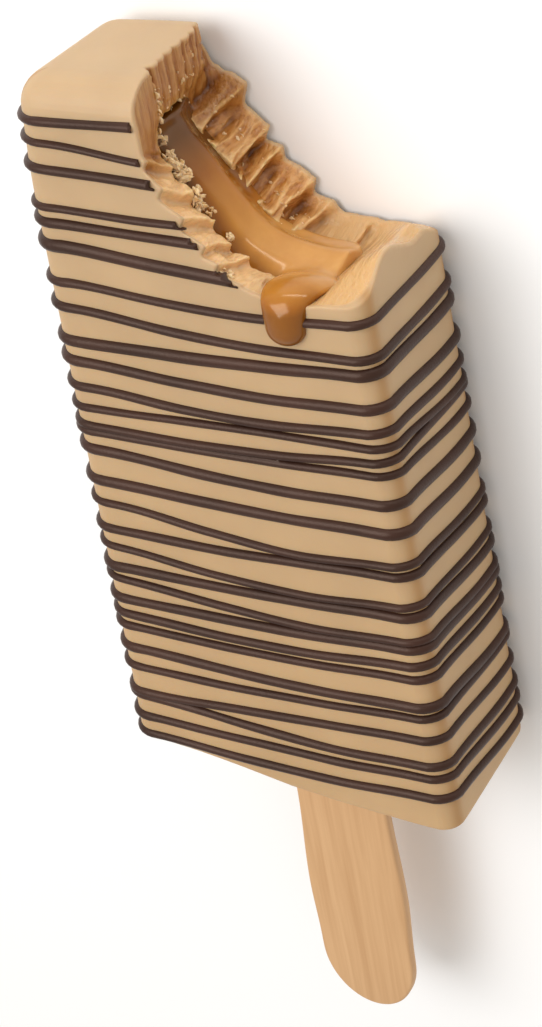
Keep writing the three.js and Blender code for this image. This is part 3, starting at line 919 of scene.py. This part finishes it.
def drop_tongue():
    """A drop that hangs down the front face, bent back over the rim into the filling."""
    hang = DROP_BEND_AT - DROP_LOWEST
    bend = DROP_BEND_RADIUS * math.pi / 2
    length = hang + bend + DROP_ROOT
    half = DROP_WIDTH / 2
    bm = bmesh.new()
    bmesh.ops.create_uvsphere(bm, u_segments=40, v_segments=40, radius=1.0)
    for vert in bm.verts:
        x, out, end = vert.co.x, vert.co.y, vert.co.z
        stretch = (length / 2 - half) * min(abs(end) * 3, 1)
        along = end * half + math.copysign(stretch, end) + length / 2
        widen = 1 + DROP_SPREAD * smooth(along, hang * 0.6, hang + bend + 2)
        across = DROP_X + DROP_LEAN * along / length + x * widen * half
        turn = clamp((along - hang) / DROP_BEND_RADIUS, 0, math.pi / 2)
        proud = mix(DROP_PROUD, DROP_ROOT_PROUD, smooth(along, hang, hang + bend))
        arm = max(DROP_BEND_RADIUS + out * proud, DROP_INNER_RADIUS)
        back_way = max(along - hang - bend, 0)
        y = DROP_LOWEST + min(along, hang) + arm * math.sin(turn) - DROP_ROOT_DIP * back_way
        z = front_z(DROP_BEND_AT) - DROP_BEND_RADIUS + arm * math.cos(turn) - back_way
        vert.co = place(across, y, z)
    bmesh.ops.recalc_face_normals(bm, faces=bm.faces[:])
    return new_piece("drop", bm)


drop = drop_tongue()
print("drop hangs", round(DROP_BEND_AT - DROP_LOWEST, 1), "mm below the rim")

# %% Caramel
CARAMEL_VOXEL = 0.33
CARAMEL_ROUNDS = 14
DROP_JOINT = place(14.5, 89.3, 21.5)
# Reach round the joint in millimetres, and rounds of smoothing, fewer further out
JOINT_ROUNDS = ((5.6, 150), (6.4, 50), (7.4, 25), (8.4, 8))

caramel = core_block("caramel_filling")
crest_tool = tool_above("crest_tool", caramel_surface, *CREST_STEPS)
boolean(caramel, crest_tool, "DIFFERENCE")
boolean(caramel, drop, "UNION")
discard(crest_tool, drop)
remesh(caramel, CARAMEL_VOXEL)
relax(caramel, CARAMEL_ROUNDS)
for reach, rounds in JOINT_ROUNDS:
    relax(caramel, rounds, within=(DROP_JOINT, reach * MM))
print("caramel", triangles(caramel), "triangles")

# %% [markdown]
# ## Flakes
#
# Frozen ice cream snaps, so thin flakes and crumbs cling to the broken edge over the caramel, to the
# ragged edge of the wall and to the torn ridges. Each is a small sphere, flattened, bent and
# roughened with noise. Particles could scatter them, but they wouldn't be kept in an export. All
# are joined in one mesh, and the draw is seeded, so that they fall alike every time.

# %% Flakes
# Station, depth share, how many, their spread in stations and shares, and their size in millimetres
FLAKE_CLUSTERS = [
    (3.12, 0.36, 6, 0.08, 0.04, 0.6), (3.5, 0.42, 12, 0.12, 0.06, 0.7), (3.74, 0.4, 20, 0.13, 0.07, 0.85),
    (4.0, 0.42, 18, 0.1, 0.06, 0.85), (4.5, 0.47, 12, 0.1, 0.05, 0.75), (4.68, 0.46, 14, 0.08, 0.05, 0.8),
    (4.98, 0.44, 8, 0.08, 0.05, 0.6), (5.76, 0.44, 8, 0.06, 0.06, 0.8), (6.3, 0.9, 16, 0.2, 0.05, 0.5),
    (2.2, 0.41, 30, 0.7, 0.03, 0.6), (2.0, 0.0, 34, 0.8, 0.45, 0.35), (4.6, -0.7, 20, 1.2, 0.2, 0.35),
    (6.4, -0.6, 16, 0.6, 0.15, 0.4),
]
FLAKE_SEED = 11
FLAKE_TILT = 0.9
FLAKE_BEND = 0.25


def add_flake(bm, spot, size, draw):
    """Adds a thin rough flake at a place in metres, with its size in millimetres."""
    made = bmesh.ops.create_icosphere(bm, subdivisions=3, radius=1.0)
    shape = Vector((1, draw.uniform(0.4, 0.8), draw.uniform(0.14, 0.3))) * size
    tilt = Matrix.Rotation(draw.uniform(-FLAKE_TILT, FLAKE_TILT), 3, "X")
    turn = tilt @ Matrix.Rotation(draw.uniform(0, 6.3), 3, "Z")
    turn = Matrix.Rotation(draw.uniform(-FLAKE_TILT, FLAKE_TILT), 3, "Y") @ turn
    seed = Vector((draw.uniform(0, 99), 0, 0))
    for vert in made["verts"]:
        lumps = 0.55 * noise.noise(vert.co * 1.7 + seed) + 0.25 * noise.noise(vert.co * 5 + seed)
        rough = vert.co * (1 + lumps)
        lift = rough.z * shape.z + FLAKE_BEND * size * rough.x**2
        vert.co = spot + turn @ Vector((rough.x * shape.x, rough.y * shape.y, lift)) * MM


def flakes():
    draw = random.Random(FLAKE_SEED)
    bm = bmesh.new()
    for station, share, count, run, reach, size in FLAKE_CLUSTERS:
        for _ in range(count):
            at = station + draw.uniform(-run, run)
            across = clamp(share + draw.uniform(-reach, reach), -0.95, 0.95)
            spot = away(torn_bite(at, across), draw.uniform(-0.15, 0.35) * size)
            z = middle_z(BITE_MIDDLE_Y) + across * HALF_DEPTH
            add_flake(bm, place(spot.x, spot.y, z), size * draw.uniform(0.45, 1.0), draw)
    return new_piece("bite_flakes", bm)


loose_flakes = flakes()
print(sum(row[2] for row in FLAKE_CLUSTERS), "flakes")

# %% [markdown]
# ## Stick
#
# The stick is stamped from birch veneer: a flat blade with a waist near the bar and round ends, its
# edges eased by tumbling. A scaled cube with a bevel would have straight sides, so a filled circle
# is moved onto the outline, extruded to its thickness and bevelled.

# %% Stick
STICK_THICKNESS = 2.0
STICK_EDGE = 0.5
STICK_SHARP = 1.0
# Heights above the bar's base, below it where negative, and half the blade's width there
STICK_SIDE = [(-60, 7.9), (-47, 8.4), (-34, 8.8), (-13, 8.0), (18, 8.5), (53, 8.8)]
END_RUN = 11.0
END_ROUND = 2.3
STICK_TURN = math.radians(-0.8)
STICK_TURN_AT = -12.0
MIDDLE_SLOPE = math.atan((BASE_THICKNESS - TIP_THICKNESS) / 2 / BAR_LENGTH)


def stick_half_width(y):
    """Half the blade's width at a height, which is negative outside the bar."""
    for (y0, w0), (y1, w1) in zip(STICK_SIDE, STICK_SIDE[1:]):
        if y <= y1:
            width = mix(w0, w1, smooth(y, y0, y1))
            break
    gap = min(y - STICK_SIDE[0][0], STICK_SIDE[-1][0] - y) / END_RUN
    return width * math.sqrt(1 - (1 - clamp(gap)) ** END_ROUND)


def stick_blade():
    outer, inner = STICK_SIDE[0][0], STICK_SIDE[-1][0]
    bm = bmesh.new()
    bmesh.ops.create_circle(bm, segments=220, radius=1.0, cap_ends=True)
    for vert in bm.verts:
        turn = math.atan2(vert.co.y, vert.co.x)
        y = clamp(mix(outer, inner, (math.sin(turn) + 1) / 2), outer, inner)
        across = math.copysign(stick_half_width(y), math.cos(turn)) if abs(math.cos(turn)) > 1e-4 else 0
        vert.co = Vector((across, y, -STICK_THICKNESS / 2)) * MM
    solid = bmesh.ops.extrude_face_region(bm, geom=bm.faces[:], use_keep_orig=True)
    top = [v for v in solid["geom"] if isinstance(v, bmesh.types.BMVert)]
    bmesh.ops.translate(bm, vec=(0, 0, STICK_THICKNESS * MM), verts=top)
    bevel(bm, sharp_edges(bm, STICK_SHARP), STICK_EDGE, 4)
    at = Matrix.Translation((0, STICK_TURN_AT * MM, 0))
    turn = at @ Matrix.Rotation(STICK_TURN, 4, "Z") @ at.inverted()
    tilt = Matrix.Translation(place(0, 0, middle_z(0))) @ Matrix.Rotation(-MIDDLE_SLOPE, 4, "X")
    bmesh.ops.transform(bm, matrix=tilt @ turn, verts=bm.verts[:])
    bmesh.ops.recalc_face_normals(bm, faces=bm.faces[:])
    return new_piece("wooden_stick", bm)


stick = stick_blade()
print("stick", STICK_SIDE[-1][0] - STICK_SIDE[0][0], "mm long")

# %% [markdown]
# ## Finishes
#
# The finishes are node materials, laid out by the object's own coordinates, so that they need no
# pictures. First come short helpers that add nodes and link them, and an effect that several
# finishes share, as a node group with named sockets. Then each finish has a material of its own.

# %% Node helpers
def new_material(name):
    material = bpy.data.materials.new(name)
    material.use_nodes = True
    nodes = material.node_tree.nodes
    return material, material.node_tree, nodes["Principled BSDF"]


def add(tree, kind, **values):
    """A node of a kind, with values set on its sockets by name."""
    node = tree.nodes.new(kind)
    for name, value in values.items():
        node.inputs[name.replace("_", " ")].default_value = value
    return node


def srgb(red, green, blue):
    """A colour from the usual 0 to 255 values."""
    def linear(value):
        value /= 255
        return value / 12.92 if value <= 0.04045 else ((value + 0.055) / 1.055) ** 2.4
    return (linear(red), linear(green), linear(blue), 1.0)


def ramp(tree, factor, stops):
    node = tree.nodes.new("ShaderNodeValToRGB")
    tree.links.new(factor, node.inputs["Fac"])
    elements = node.color_ramp.elements
    while len(elements) < len(stops):
        elements.new(0.5)
    for element, (position, colour) in zip(elements, stops):
        element.position = position
        element.color = colour
    return node.outputs["Color"]


def noise_field(tree, vector, scale, detail=3.0, roughness=0.5):
    node = add(tree, "ShaderNodeTexNoise", Scale=scale, Detail=detail, Roughness=roughness)
    tree.links.new(vector, node.inputs["Vector"])
    return node.outputs["Fac"]


def soften(shader, weight, radius, scale):
    """Lets light soak in, by a weight, a radius for each colour and a depth in millimetres."""
    shader.inputs["Subsurface Weight"].default_value = weight
    shader.inputs["Subsurface Radius"].default_value = radius
    shader.inputs["Subsurface Scale"].default_value = scale * MM


# %% [markdown]
# ## Frozen grain
#
# Frozen coatings have a fine grain of ice crystals, and broader patches where they thawed and froze
# again. Both are noise: one as a height for a bump, the other as a mask for colour. The ice cream,
# its flakes and the dark threads all have it, so it is a group that is built once.

# %% Effect: frozen grain
def make_grain_group():
    """Fine frozen grain: a height for bump, and a faint mottling mask."""
    group = bpy.data.node_groups.new("frozen_grain", "ShaderNodeTree")
    group.interface.new_socket("Grain Scale", in_out="INPUT", socket_type="NodeSocketFloat")
    group.interface.new_socket("Height", in_out="OUTPUT", socket_type="NodeSocketFloat")
    group.interface.new_socket("Mottle", in_out="OUTPUT", socket_type="NodeSocketFloat")
    start = group.nodes.new("NodeGroupInput")
    end = group.nodes.new("NodeGroupOutput")
    where = group.nodes.new("ShaderNodeTexCoord")
    fine = add(group, "ShaderNodeTexNoise", Detail=4.0, Roughness=0.65)
    broad = add(group, "ShaderNodeTexNoise", Scale=90.0, Detail=3.0, Roughness=0.5)
    for node in (fine, broad):
        group.links.new(where.outputs["Object"], node.inputs["Vector"])
    group.links.new(start.outputs["Grain Scale"], fine.inputs["Scale"])
    group.links.new(fine.outputs["Fac"], end.inputs["Height"])
    group.links.new(broad.outputs["Fac"], end.inputs["Mottle"])
    return group


grain_group = make_grain_group()


def grain(tree, scale):
    node = tree.nodes.new("ShaderNodeGroup")
    node.node_tree = grain_group
    node.inputs["Grain Scale"].default_value = scale
    return node


def bump(tree, height, strength, distance_mm, normal=None):
    node = add(tree, "ShaderNodeBump", Strength=strength, Distance=distance_mm * MM)
    tree.links.new(height, node.inputs["Height"])
    if normal is not None:
        tree.links.new(normal, node.inputs["Normal"])
    return node.outputs["Normal"]


def blend(tree, factor, first, second, mode="MIX"):
    """Colour mix; factor, first and second are sockets or values."""
    node = tree.nodes.new("ShaderNodeMix")
    node.data_type = "RGBA"
    node.blend_type = mode
    for index, value in ((0, factor), (6, first), (7, second)):
        if isinstance(value, bpy.types.NodeSocket):
            tree.links.new(value, node.inputs[index])
        else:
            node.inputs[index].default_value = value
    return node.outputs[2]


def object_place(tree, stretch=(1, 1, 1), turn=(0, 0, 0)):
    where = tree.nodes.new("ShaderNodeTexCoord")
    mapping = tree.nodes.new("ShaderNodeMapping")
    mapping.inputs["Scale"].default_value = stretch
    mapping.inputs["Rotation"].default_value = turn
    tree.links.new(where.outputs["Object"], mapping.inputs["Vector"])
    return mapping.outputs["Vector"]


# %% [markdown]
# ## Where the ice cream is torn
#
# The moulded skin is matt and even, while the torn ice cream is wet and fibrous. Its crests get a
# painted highlight, and its hollows a brown that is partly light soaking in and partly painted shade.
# A mask could be painted by hand. Here it is measured: each vertex stores how far it lies inside the
# skin, and how far its neighbourhood stands out over it, near and wide. A band of painted shade runs
# along the long edges.

# %% Vertex measures
def vertex_array(mesh, name, source="vertices"):
    data = getattr(mesh, source)
    values = np.empty(len(data) * 3)
    data.foreach_get(name, values)
    return values.reshape(-1, 3)


def bar_places(mesh):
    """The vertices' places on the bar, in millimetres, as x, y and z."""
    x, y, z = (vertex_array(mesh, "co") / MM).T
    return x, y + ORIGIN_Y, z


def store(mesh, name, values):
    layer = mesh.attributes.new(name, "FLOAT", "POINT")
    layer.data.foreach_set("value", values.astype(np.float32))
    print("stored", name, "mean", round(float(values.mean()), 3))


def way_from(start, end, values):
    """How far values have come from a start to an end, from 0 to 1."""
    return np.clip((values - start) / (end - start), 0, 1)


def eased(spots, edges, rounds):
    """The places of the vertices after so many rounds of smoothing."""
    count = len(spots)
    links = np.maximum(np.bincount(edges.ravel(), minlength=count), 1)
    spots = spots.copy()
    for _ in range(rounds):
        for axis in range(3):
            column = spots[:, axis]
            total = np.bincount(edges[:, 0], column[edges[:, 1]], count)
            total += np.bincount(edges[:, 1], column[edges[:, 0]], count)
            spots[:, axis] = 0.4 * column + 0.6 * total / links
    return spots


# %% Mark the torn surface
SKIN_DEPTHS = (0.3, 0.7)
BITE_FROM = 80
NEAR_ROUNDS, WIDE_ROUNDS = 10, 90
# The band of painted shade along the long edges: its angle round the edge and its width, in radians, and
# how far out from the edge's core it starts, in millimetres
SHADE_BAND_ANGLE, SHADE_BAND_WIDTH = 0.55, 0.22
SHADE_BAND_OUTSIDE = 3


def mark_torn(mesh):
    """Stores whether each vertex lies inside the moulded skin, and a band of painted shade along the long
    edges.
    """
    x, y, z = bar_places(mesh)
    dx = np.abs(x) - (width_at(y) / 2 - SIDE_RADIUS)
    dz = np.abs(z - middle_z(y)) - (thickness_at(y) / 2 - SIDE_RADIUS)
    dy = y - (BAR_LENGTH - TIP_RADIUS)
    outside = np.sqrt(np.maximum(dx, 0)**2 + np.maximum(dz, 0)**2 + np.maximum(dy, 0)**2)
    inside = np.maximum(np.maximum(dx, dz), dy)
    depth = SIDE_RADIUS - np.where(inside > 0, outside, inside)
    in_bite = (y > BITE_FROM) & (x > -9 - 0.2 * (110 - y))
    store(mesh, "torn", way_from(*SKIN_DEPTHS, depth) * in_bite)
    # A band of painted shade along the long edges
    angle = np.arctan2(np.maximum(dz, 0), np.maximum(dx, 1e-6))
    shade_band = np.exp(-((angle - SHADE_BAND_ANGLE) / SHADE_BAND_WIDTH)**2) * (outside > SHADE_BAND_OUTSIDE) * (dx > 0)
    store(mesh, "corner", 0.9 * shade_band)


def mark_relief(mesh):
    """Stores how hollow the surface is at each vertex, near and wide, for painted shade in the hollows and
    a painted highlight on the crests.
    """
    spots = vertex_array(mesh, "co") / MM
    edges = np.empty(len(mesh.edges) * 2, dtype=int)
    mesh.edges.foreach_get("vertices", edges)
    edges = edges.reshape(-1, 2)
    normals = vertex_array(mesh, "vector", "vertex_normals")
    near = np.sum((eased(spots, edges, NEAR_ROUNDS) - spots) * normals, axis=1)
    wide = np.sum((eased(spots, edges, WIDE_ROUNDS) - spots) * normals, axis=1)
    store(mesh, "hollow", np.clip(0.48 + 1.5 * near, 0, 1))
    store(mesh, "recess", np.clip(0.5 + 0.45 * wide, 0, 1))


def mark_places(mesh):
    """Stores the parts of the bite that differ: its wall, which is painted darker as shade; its thawed
    right end, whose pale colour is cut back on the mound's flank as painted shade; and the ledge in front
    of the caramel, which is painted paler as a highlight. Each part starts and is whole at two places on
    the bar."""
    x, y, z = bar_places(mesh)
    store(mesh, "wall", way_from(101, 104, y))
    # Less of the pale thawed colour on the mound's flank, as painted shade
    shaded_flank = way_from(13, 17, z)
    store(mesh, "thawed", (0.92 - 0.1 * shaded_flank) * way_from(5, 9, x) * way_from(94, 91, y))
    # The ledge in front of the caramel, painted paler as a highlight
    ledge = way_from(18.5, 20, z) * way_from(104, 101, y) * way_from(15, 12, x)
    store(mesh, "ledge", 0.65 * ledge)


mark_torn(body.data)
mark_relief(body.data)
mark_places(body.data)

# %% [markdown]
# ## Finish: ice cream
#
# Outside, a matt coffee-coloured coat that grows a little paler towards the tip, with a band of
# painted shade along the long edges. Inside, the measures give the crests a painted highlight and the
# hollows a brown that is partly light soaking in and partly painted shade. The wall is painted darker
# as shade, and the ledge in front of the caramel is painted paler as a highlight. The thawed right end
# is paler, less so on the mound's flank, which is painted shade. Noise that is stretched along the
# tear gives fibres, both as streaks and as a bump. A photograph could be laid on instead, but it
# would bring its own light and shadow with it.

# %% Finish: ice cream
def attribute(tree, name):
    node = tree.nodes.new("ShaderNodeAttribute")
    node.attribute_name = name
    return node.outputs["Fac"]


def along_bar(tree):
    """0 at the bar's base and 1 at its tip."""
    where = tree.nodes.new("ShaderNodeTexCoord")
    split = tree.nodes.new("ShaderNodeSeparateXYZ")
    tree.links.new(where.outputs["Object"], split.inputs[0])
    share = tree.nodes.new("ShaderNodeMapRange")
    share.inputs["From Min"].default_value = -ORIGIN_Y * MM
    share.inputs["From Max"].default_value = (BAR_LENGTH - ORIGIN_Y) * MM
    tree.links.new(split.outputs["Y"], share.inputs["Value"])
    return share.outputs["Result"]


def skin_colour(tree, coat):
    skin = ramp(tree, along_bar(tree), [(0.0, srgb(192, 158, 115)), (1.0, srgb(192, 162, 124))])
    mottle = ramp(tree, coat.outputs["Mottle"], [(0.3, srgb(246, 244, 242)), (0.7, srgb(255, 254, 252))])
    skin = blend(tree, 1.0, skin, mottle, "MULTIPLY")
    # The band of painted shade along the long edges
    return blend(tree, attribute(tree, "corner"), skin, srgb(172, 130, 80))


def fibre_field(tree):
    """Noise stretched through the bar, and on the wall along it."""
    across = noise_field(tree, object_place(tree, (1300, 1300, 110)), 1.0, 3.0, 0.65)
    upright = noise_field(tree, object_place(tree, (1700, 120, 1700)), 1.0, 3.0, 0.65)
    return blend(tree, attribute(tree, "wall"), across, upright)


def torn_colour(tree, fibres):
    # Painted highlight on the crests and painted shade in the hollows, whose brown is partly light soaking
    # in
    inside = ramp(tree, attribute(tree, "hollow"), [
        (0.15, srgb(246, 222, 176)), (0.38, srgb(226, 190, 140)), (0.6, srgb(206, 160, 102)),
        (0.85, srgb(140, 86, 34))])
    # Painted shade in the wide recesses
    shade = ramp(tree, attribute(tree, "recess"), [
        (0.3, srgb(255, 250, 236)), (0.55, srgb(236, 206, 162)), (0.85, srgb(120, 74, 30))])
    inside = blend(tree, 1.0, inside, shade, "MULTIPLY")
    # The wall is painted darker, as shade
    shaded_wall = blend(tree, 1.0, inside, srgb(214, 198, 166), "MULTIPLY")
    inside = blend(tree, attribute(tree, "wall"), inside, shaded_wall)
    streaks = ramp(tree, fibres, [
        (0.36, srgb(205, 180, 146)), (0.5, srgb(244, 236, 222)), (0.62, srgb(255, 255, 255))])
    inside = blend(tree, 0.75, inside, streaks, "MULTIPLY")
    # The ledge painted paler, as a highlight
    inside = blend(tree, attribute(tree, "ledge"), inside, srgb(238, 200, 148))
    return blend(tree, attribute(tree, "thawed"), inside, srgb(208, 168, 116))


def ice_cream_finish():
    material, tree, shader = new_material("ice_cream")
    coat = grain(tree, 1500.0)
    torn = attribute(tree, "torn")
    fibres = fibre_field(tree)
    colour = blend(tree, torn, skin_colour(tree, coat), torn_colour(tree, fibres))
    tree.links.new(colour, shader.inputs["Base Color"])
    fibrous = bump(tree, fibres, 0.6, 0.45)
    strength = tree.nodes.new("ShaderNodeMath")
    strength.operation = "MULTIPLY"
    strength.inputs[1].default_value = 0.7
    tree.links.new(torn, strength.inputs[0])
    tree.links.new(strength.outputs[0], fibrous.node.inputs["Strength"])
    tree.links.new(bump(tree, coat.outputs["Height"], 0.3, 0.1, fibrous), shader.inputs["Normal"])
    gloss = tree.nodes.new("ShaderNodeMapRange")
    gloss.inputs["To Min"].default_value = 0.55
    gloss.inputs["To Max"].default_value = 0.2
    tree.links.new(torn, gloss.inputs["Value"])
    tree.links.new(gloss.outputs["Result"], shader.inputs["Roughness"])
    soften(shader, 0.3, (1.0, 0.5, 0.2), 1.6)
    return material


finish(body, ice_cream_finish(), "ice_cream", "ice_cream")

# %% [markdown]
# ## Finish: flakes
#
# Flakes are so thin that light passes through, so they look paler than the ice cream that they
# broke off. The grain gives them two near shades, which is enough at their size.

# %% Finish: flakes
def flake_finish():
    material, tree, shader = new_material("ice_cream_flakes")
    coat = grain(tree, 2500.0)
    colour = ramp(tree, coat.outputs["Height"], [(0.35, srgb(226, 182, 128)), (0.65, srgb(250, 216, 168))])
    tree.links.new(colour, shader.inputs["Base Color"])
    tree.links.new(bump(tree, coat.outputs["Height"], 0.5, 0.1), shader.inputs["Normal"])
    shader.inputs["Roughness"].default_value = 0.35
    soften(shader, 0.3, (1.0, 0.6, 0.3), 1.0)
    return material


finish(loose_flakes, flake_finish(), "ice_cream")

# %% [markdown]
# ## Finish: dark drizzle
#
# Dark chocolate sets with a satin skin. Black would look like plastic, so the colour is a deep
# brown, and the reflections are tinted brown as well, since the sky would turn them grey.

# %% Finish: dark drizzle
def drizzle_finish():
    material, tree, shader = new_material("dark_drizzle")
    coat = grain(tree, 2600.0)
    colour = ramp(tree, coat.outputs["Mottle"], [(0.3, srgb(42, 23, 16)), (0.7, srgb(58, 34, 26))])
    tree.links.new(colour, shader.inputs["Base Color"])
    tree.links.new(bump(tree, coat.outputs["Height"], 0.5, 0.1), shader.inputs["Normal"])
    shader.inputs["Roughness"].default_value = 0.38
    shader.inputs["Specular Tint"].default_value = (0.8, 0.62, 0.52, 1)
    return material


finish(drizzle, drizzle_finish(), "chocolate", "ice_cream")

# %% [markdown]
# ## Finish: caramel
#
# Caramel is a clear brown syrup, dark where it is deep and golden where it's thin. Real absorption
# would need a slow volume, so a stored value stands for it: how light the caramel is at each place.
# The same value holds painted shade, darker up towards the wall at the tip, and a painted shadow under
# the front edge of the bite. A thin coat over a smooth surface gives the wet glint.

# %% Finish: caramel
def mark_caramel_shade(mesh):
    """Stores how light the caramel is: lightest low in the bite, darker up to the tip, partly for depth
    and partly as painted shade of the wall; a painted shadow under the front edge; darker towards the
    back edge, and darker in the deep drop."""
    x, y, z = bar_places(mesh)
    # Darker up towards the wall: partly deeper caramel, partly painted shade of the wall
    shade_and_depth = np.interp(y, [87, 90, 97, 103], [1.0, 0.75, 0.45, 0.0])
    # Painted shadow under the front edge of the bite
    shade_and_depth -= 0.9 * way_from(15.5, 19.5, z) * way_from(10, 7, x)
    shade_and_depth -= 0.35 * way_from(11.5, 9, z) * way_from(89, 93, y)
    shade_and_depth += (0.2 - shade_and_depth) * way_from(21, 23, z) * way_from(91, 86, y)
    store(mesh, "shade_and_depth", np.clip(shade_and_depth, 0, 1))


def caramel_finish():
    material, tree, shader = new_material("caramel")
    streaks = noise_field(tree, object_place(tree, (60, 25, 60), (0, 0, 0.9)), 3.0, 4.0, 0.6)
    # Dark where the stored value holds painted shade or deep caramel, golden where it is thin and open
    colour = ramp(tree, attribute(tree, "shade_and_depth"), [
        (0.0, srgb(98, 56, 10)), (0.35, srgb(154, 92, 22)), (0.65, srgb(190, 130, 54)),
        (1.0, srgb(208, 154, 86))])
    veil = ramp(tree, streaks, [(0.35, srgb(240, 232, 222)), (0.65, srgb(255, 255, 255))])
    tree.links.new(blend(tree, 1.0, colour, veil, "MULTIPLY"), shader.inputs["Base Color"])
    shader.inputs["Roughness"].default_value = 0.19
    shader.inputs["Specular Tint"].default_value = (1.0, 0.82, 0.58, 1)
    shader.inputs["Coat Weight"].default_value = 0.2
    shader.inputs["Coat Roughness"].default_value = 0.06
    soften(shader, 0.2, (1.0, 0.5, 0.15), 1.5)
    return material


mark_caramel_shade(caramel.data)
finish(caramel, caramel_finish(), "caramel", "caramel")

# %% [markdown]
# ## Finish: wood
#
# Birch veneer is pale, with long faint fibres along the stick. Noise that is squeezed across the
# stick and stretched along it gives them, where a wave texture would look like ruled lines.

# %% Finish: wood
def wood_finish():
    material, tree, shader = new_material("birch")
    grain_lines = noise_field(tree, object_place(tree, (800, 22, 800)), 1.0, 6.0, 0.6)
    colour = ramp(tree, grain_lines, [(0.3, srgb(192, 148, 102)), (0.7, srgb(210, 168, 122))])
    tree.links.new(colour, shader.inputs["Base Color"])
    tree.links.new(bump(tree, grain_lines, 0.3, 0.1), shader.inputs["Normal"])
    shader.inputs["Roughness"].default_value = 0.6
    return material


finish(stick, wood_finish(), "stick", "stick")

# %% [markdown]
# ## Floor
#
# The photograph has a plain white ground, so the floor is one large pale plane that belongs to the
# stage and not to the part. Pure white would swallow the soft shadow that shows that the bar lies
# on something.

# %% Floor
FLOOR_HALF = 4.0


def floor_finish():
    material, tree, shader = new_material("floor")
    shader.inputs["Base Color"].default_value = (0.93, 0.93, 0.93, 1)
    shader.inputs["Roughness"].default_value = 0.8
    return material


def make_floor(material):
    bm = bmesh.new()
    bmesh.ops.create_grid(bm, x_segments=1, y_segments=1, size=FLOOR_HALF)
    floor = new_piece("floor", bm)
    floor.data.materials.append(material)


make_floor(floor_finish())
print("floor", 2 * FLOOR_HALF, "m wide")
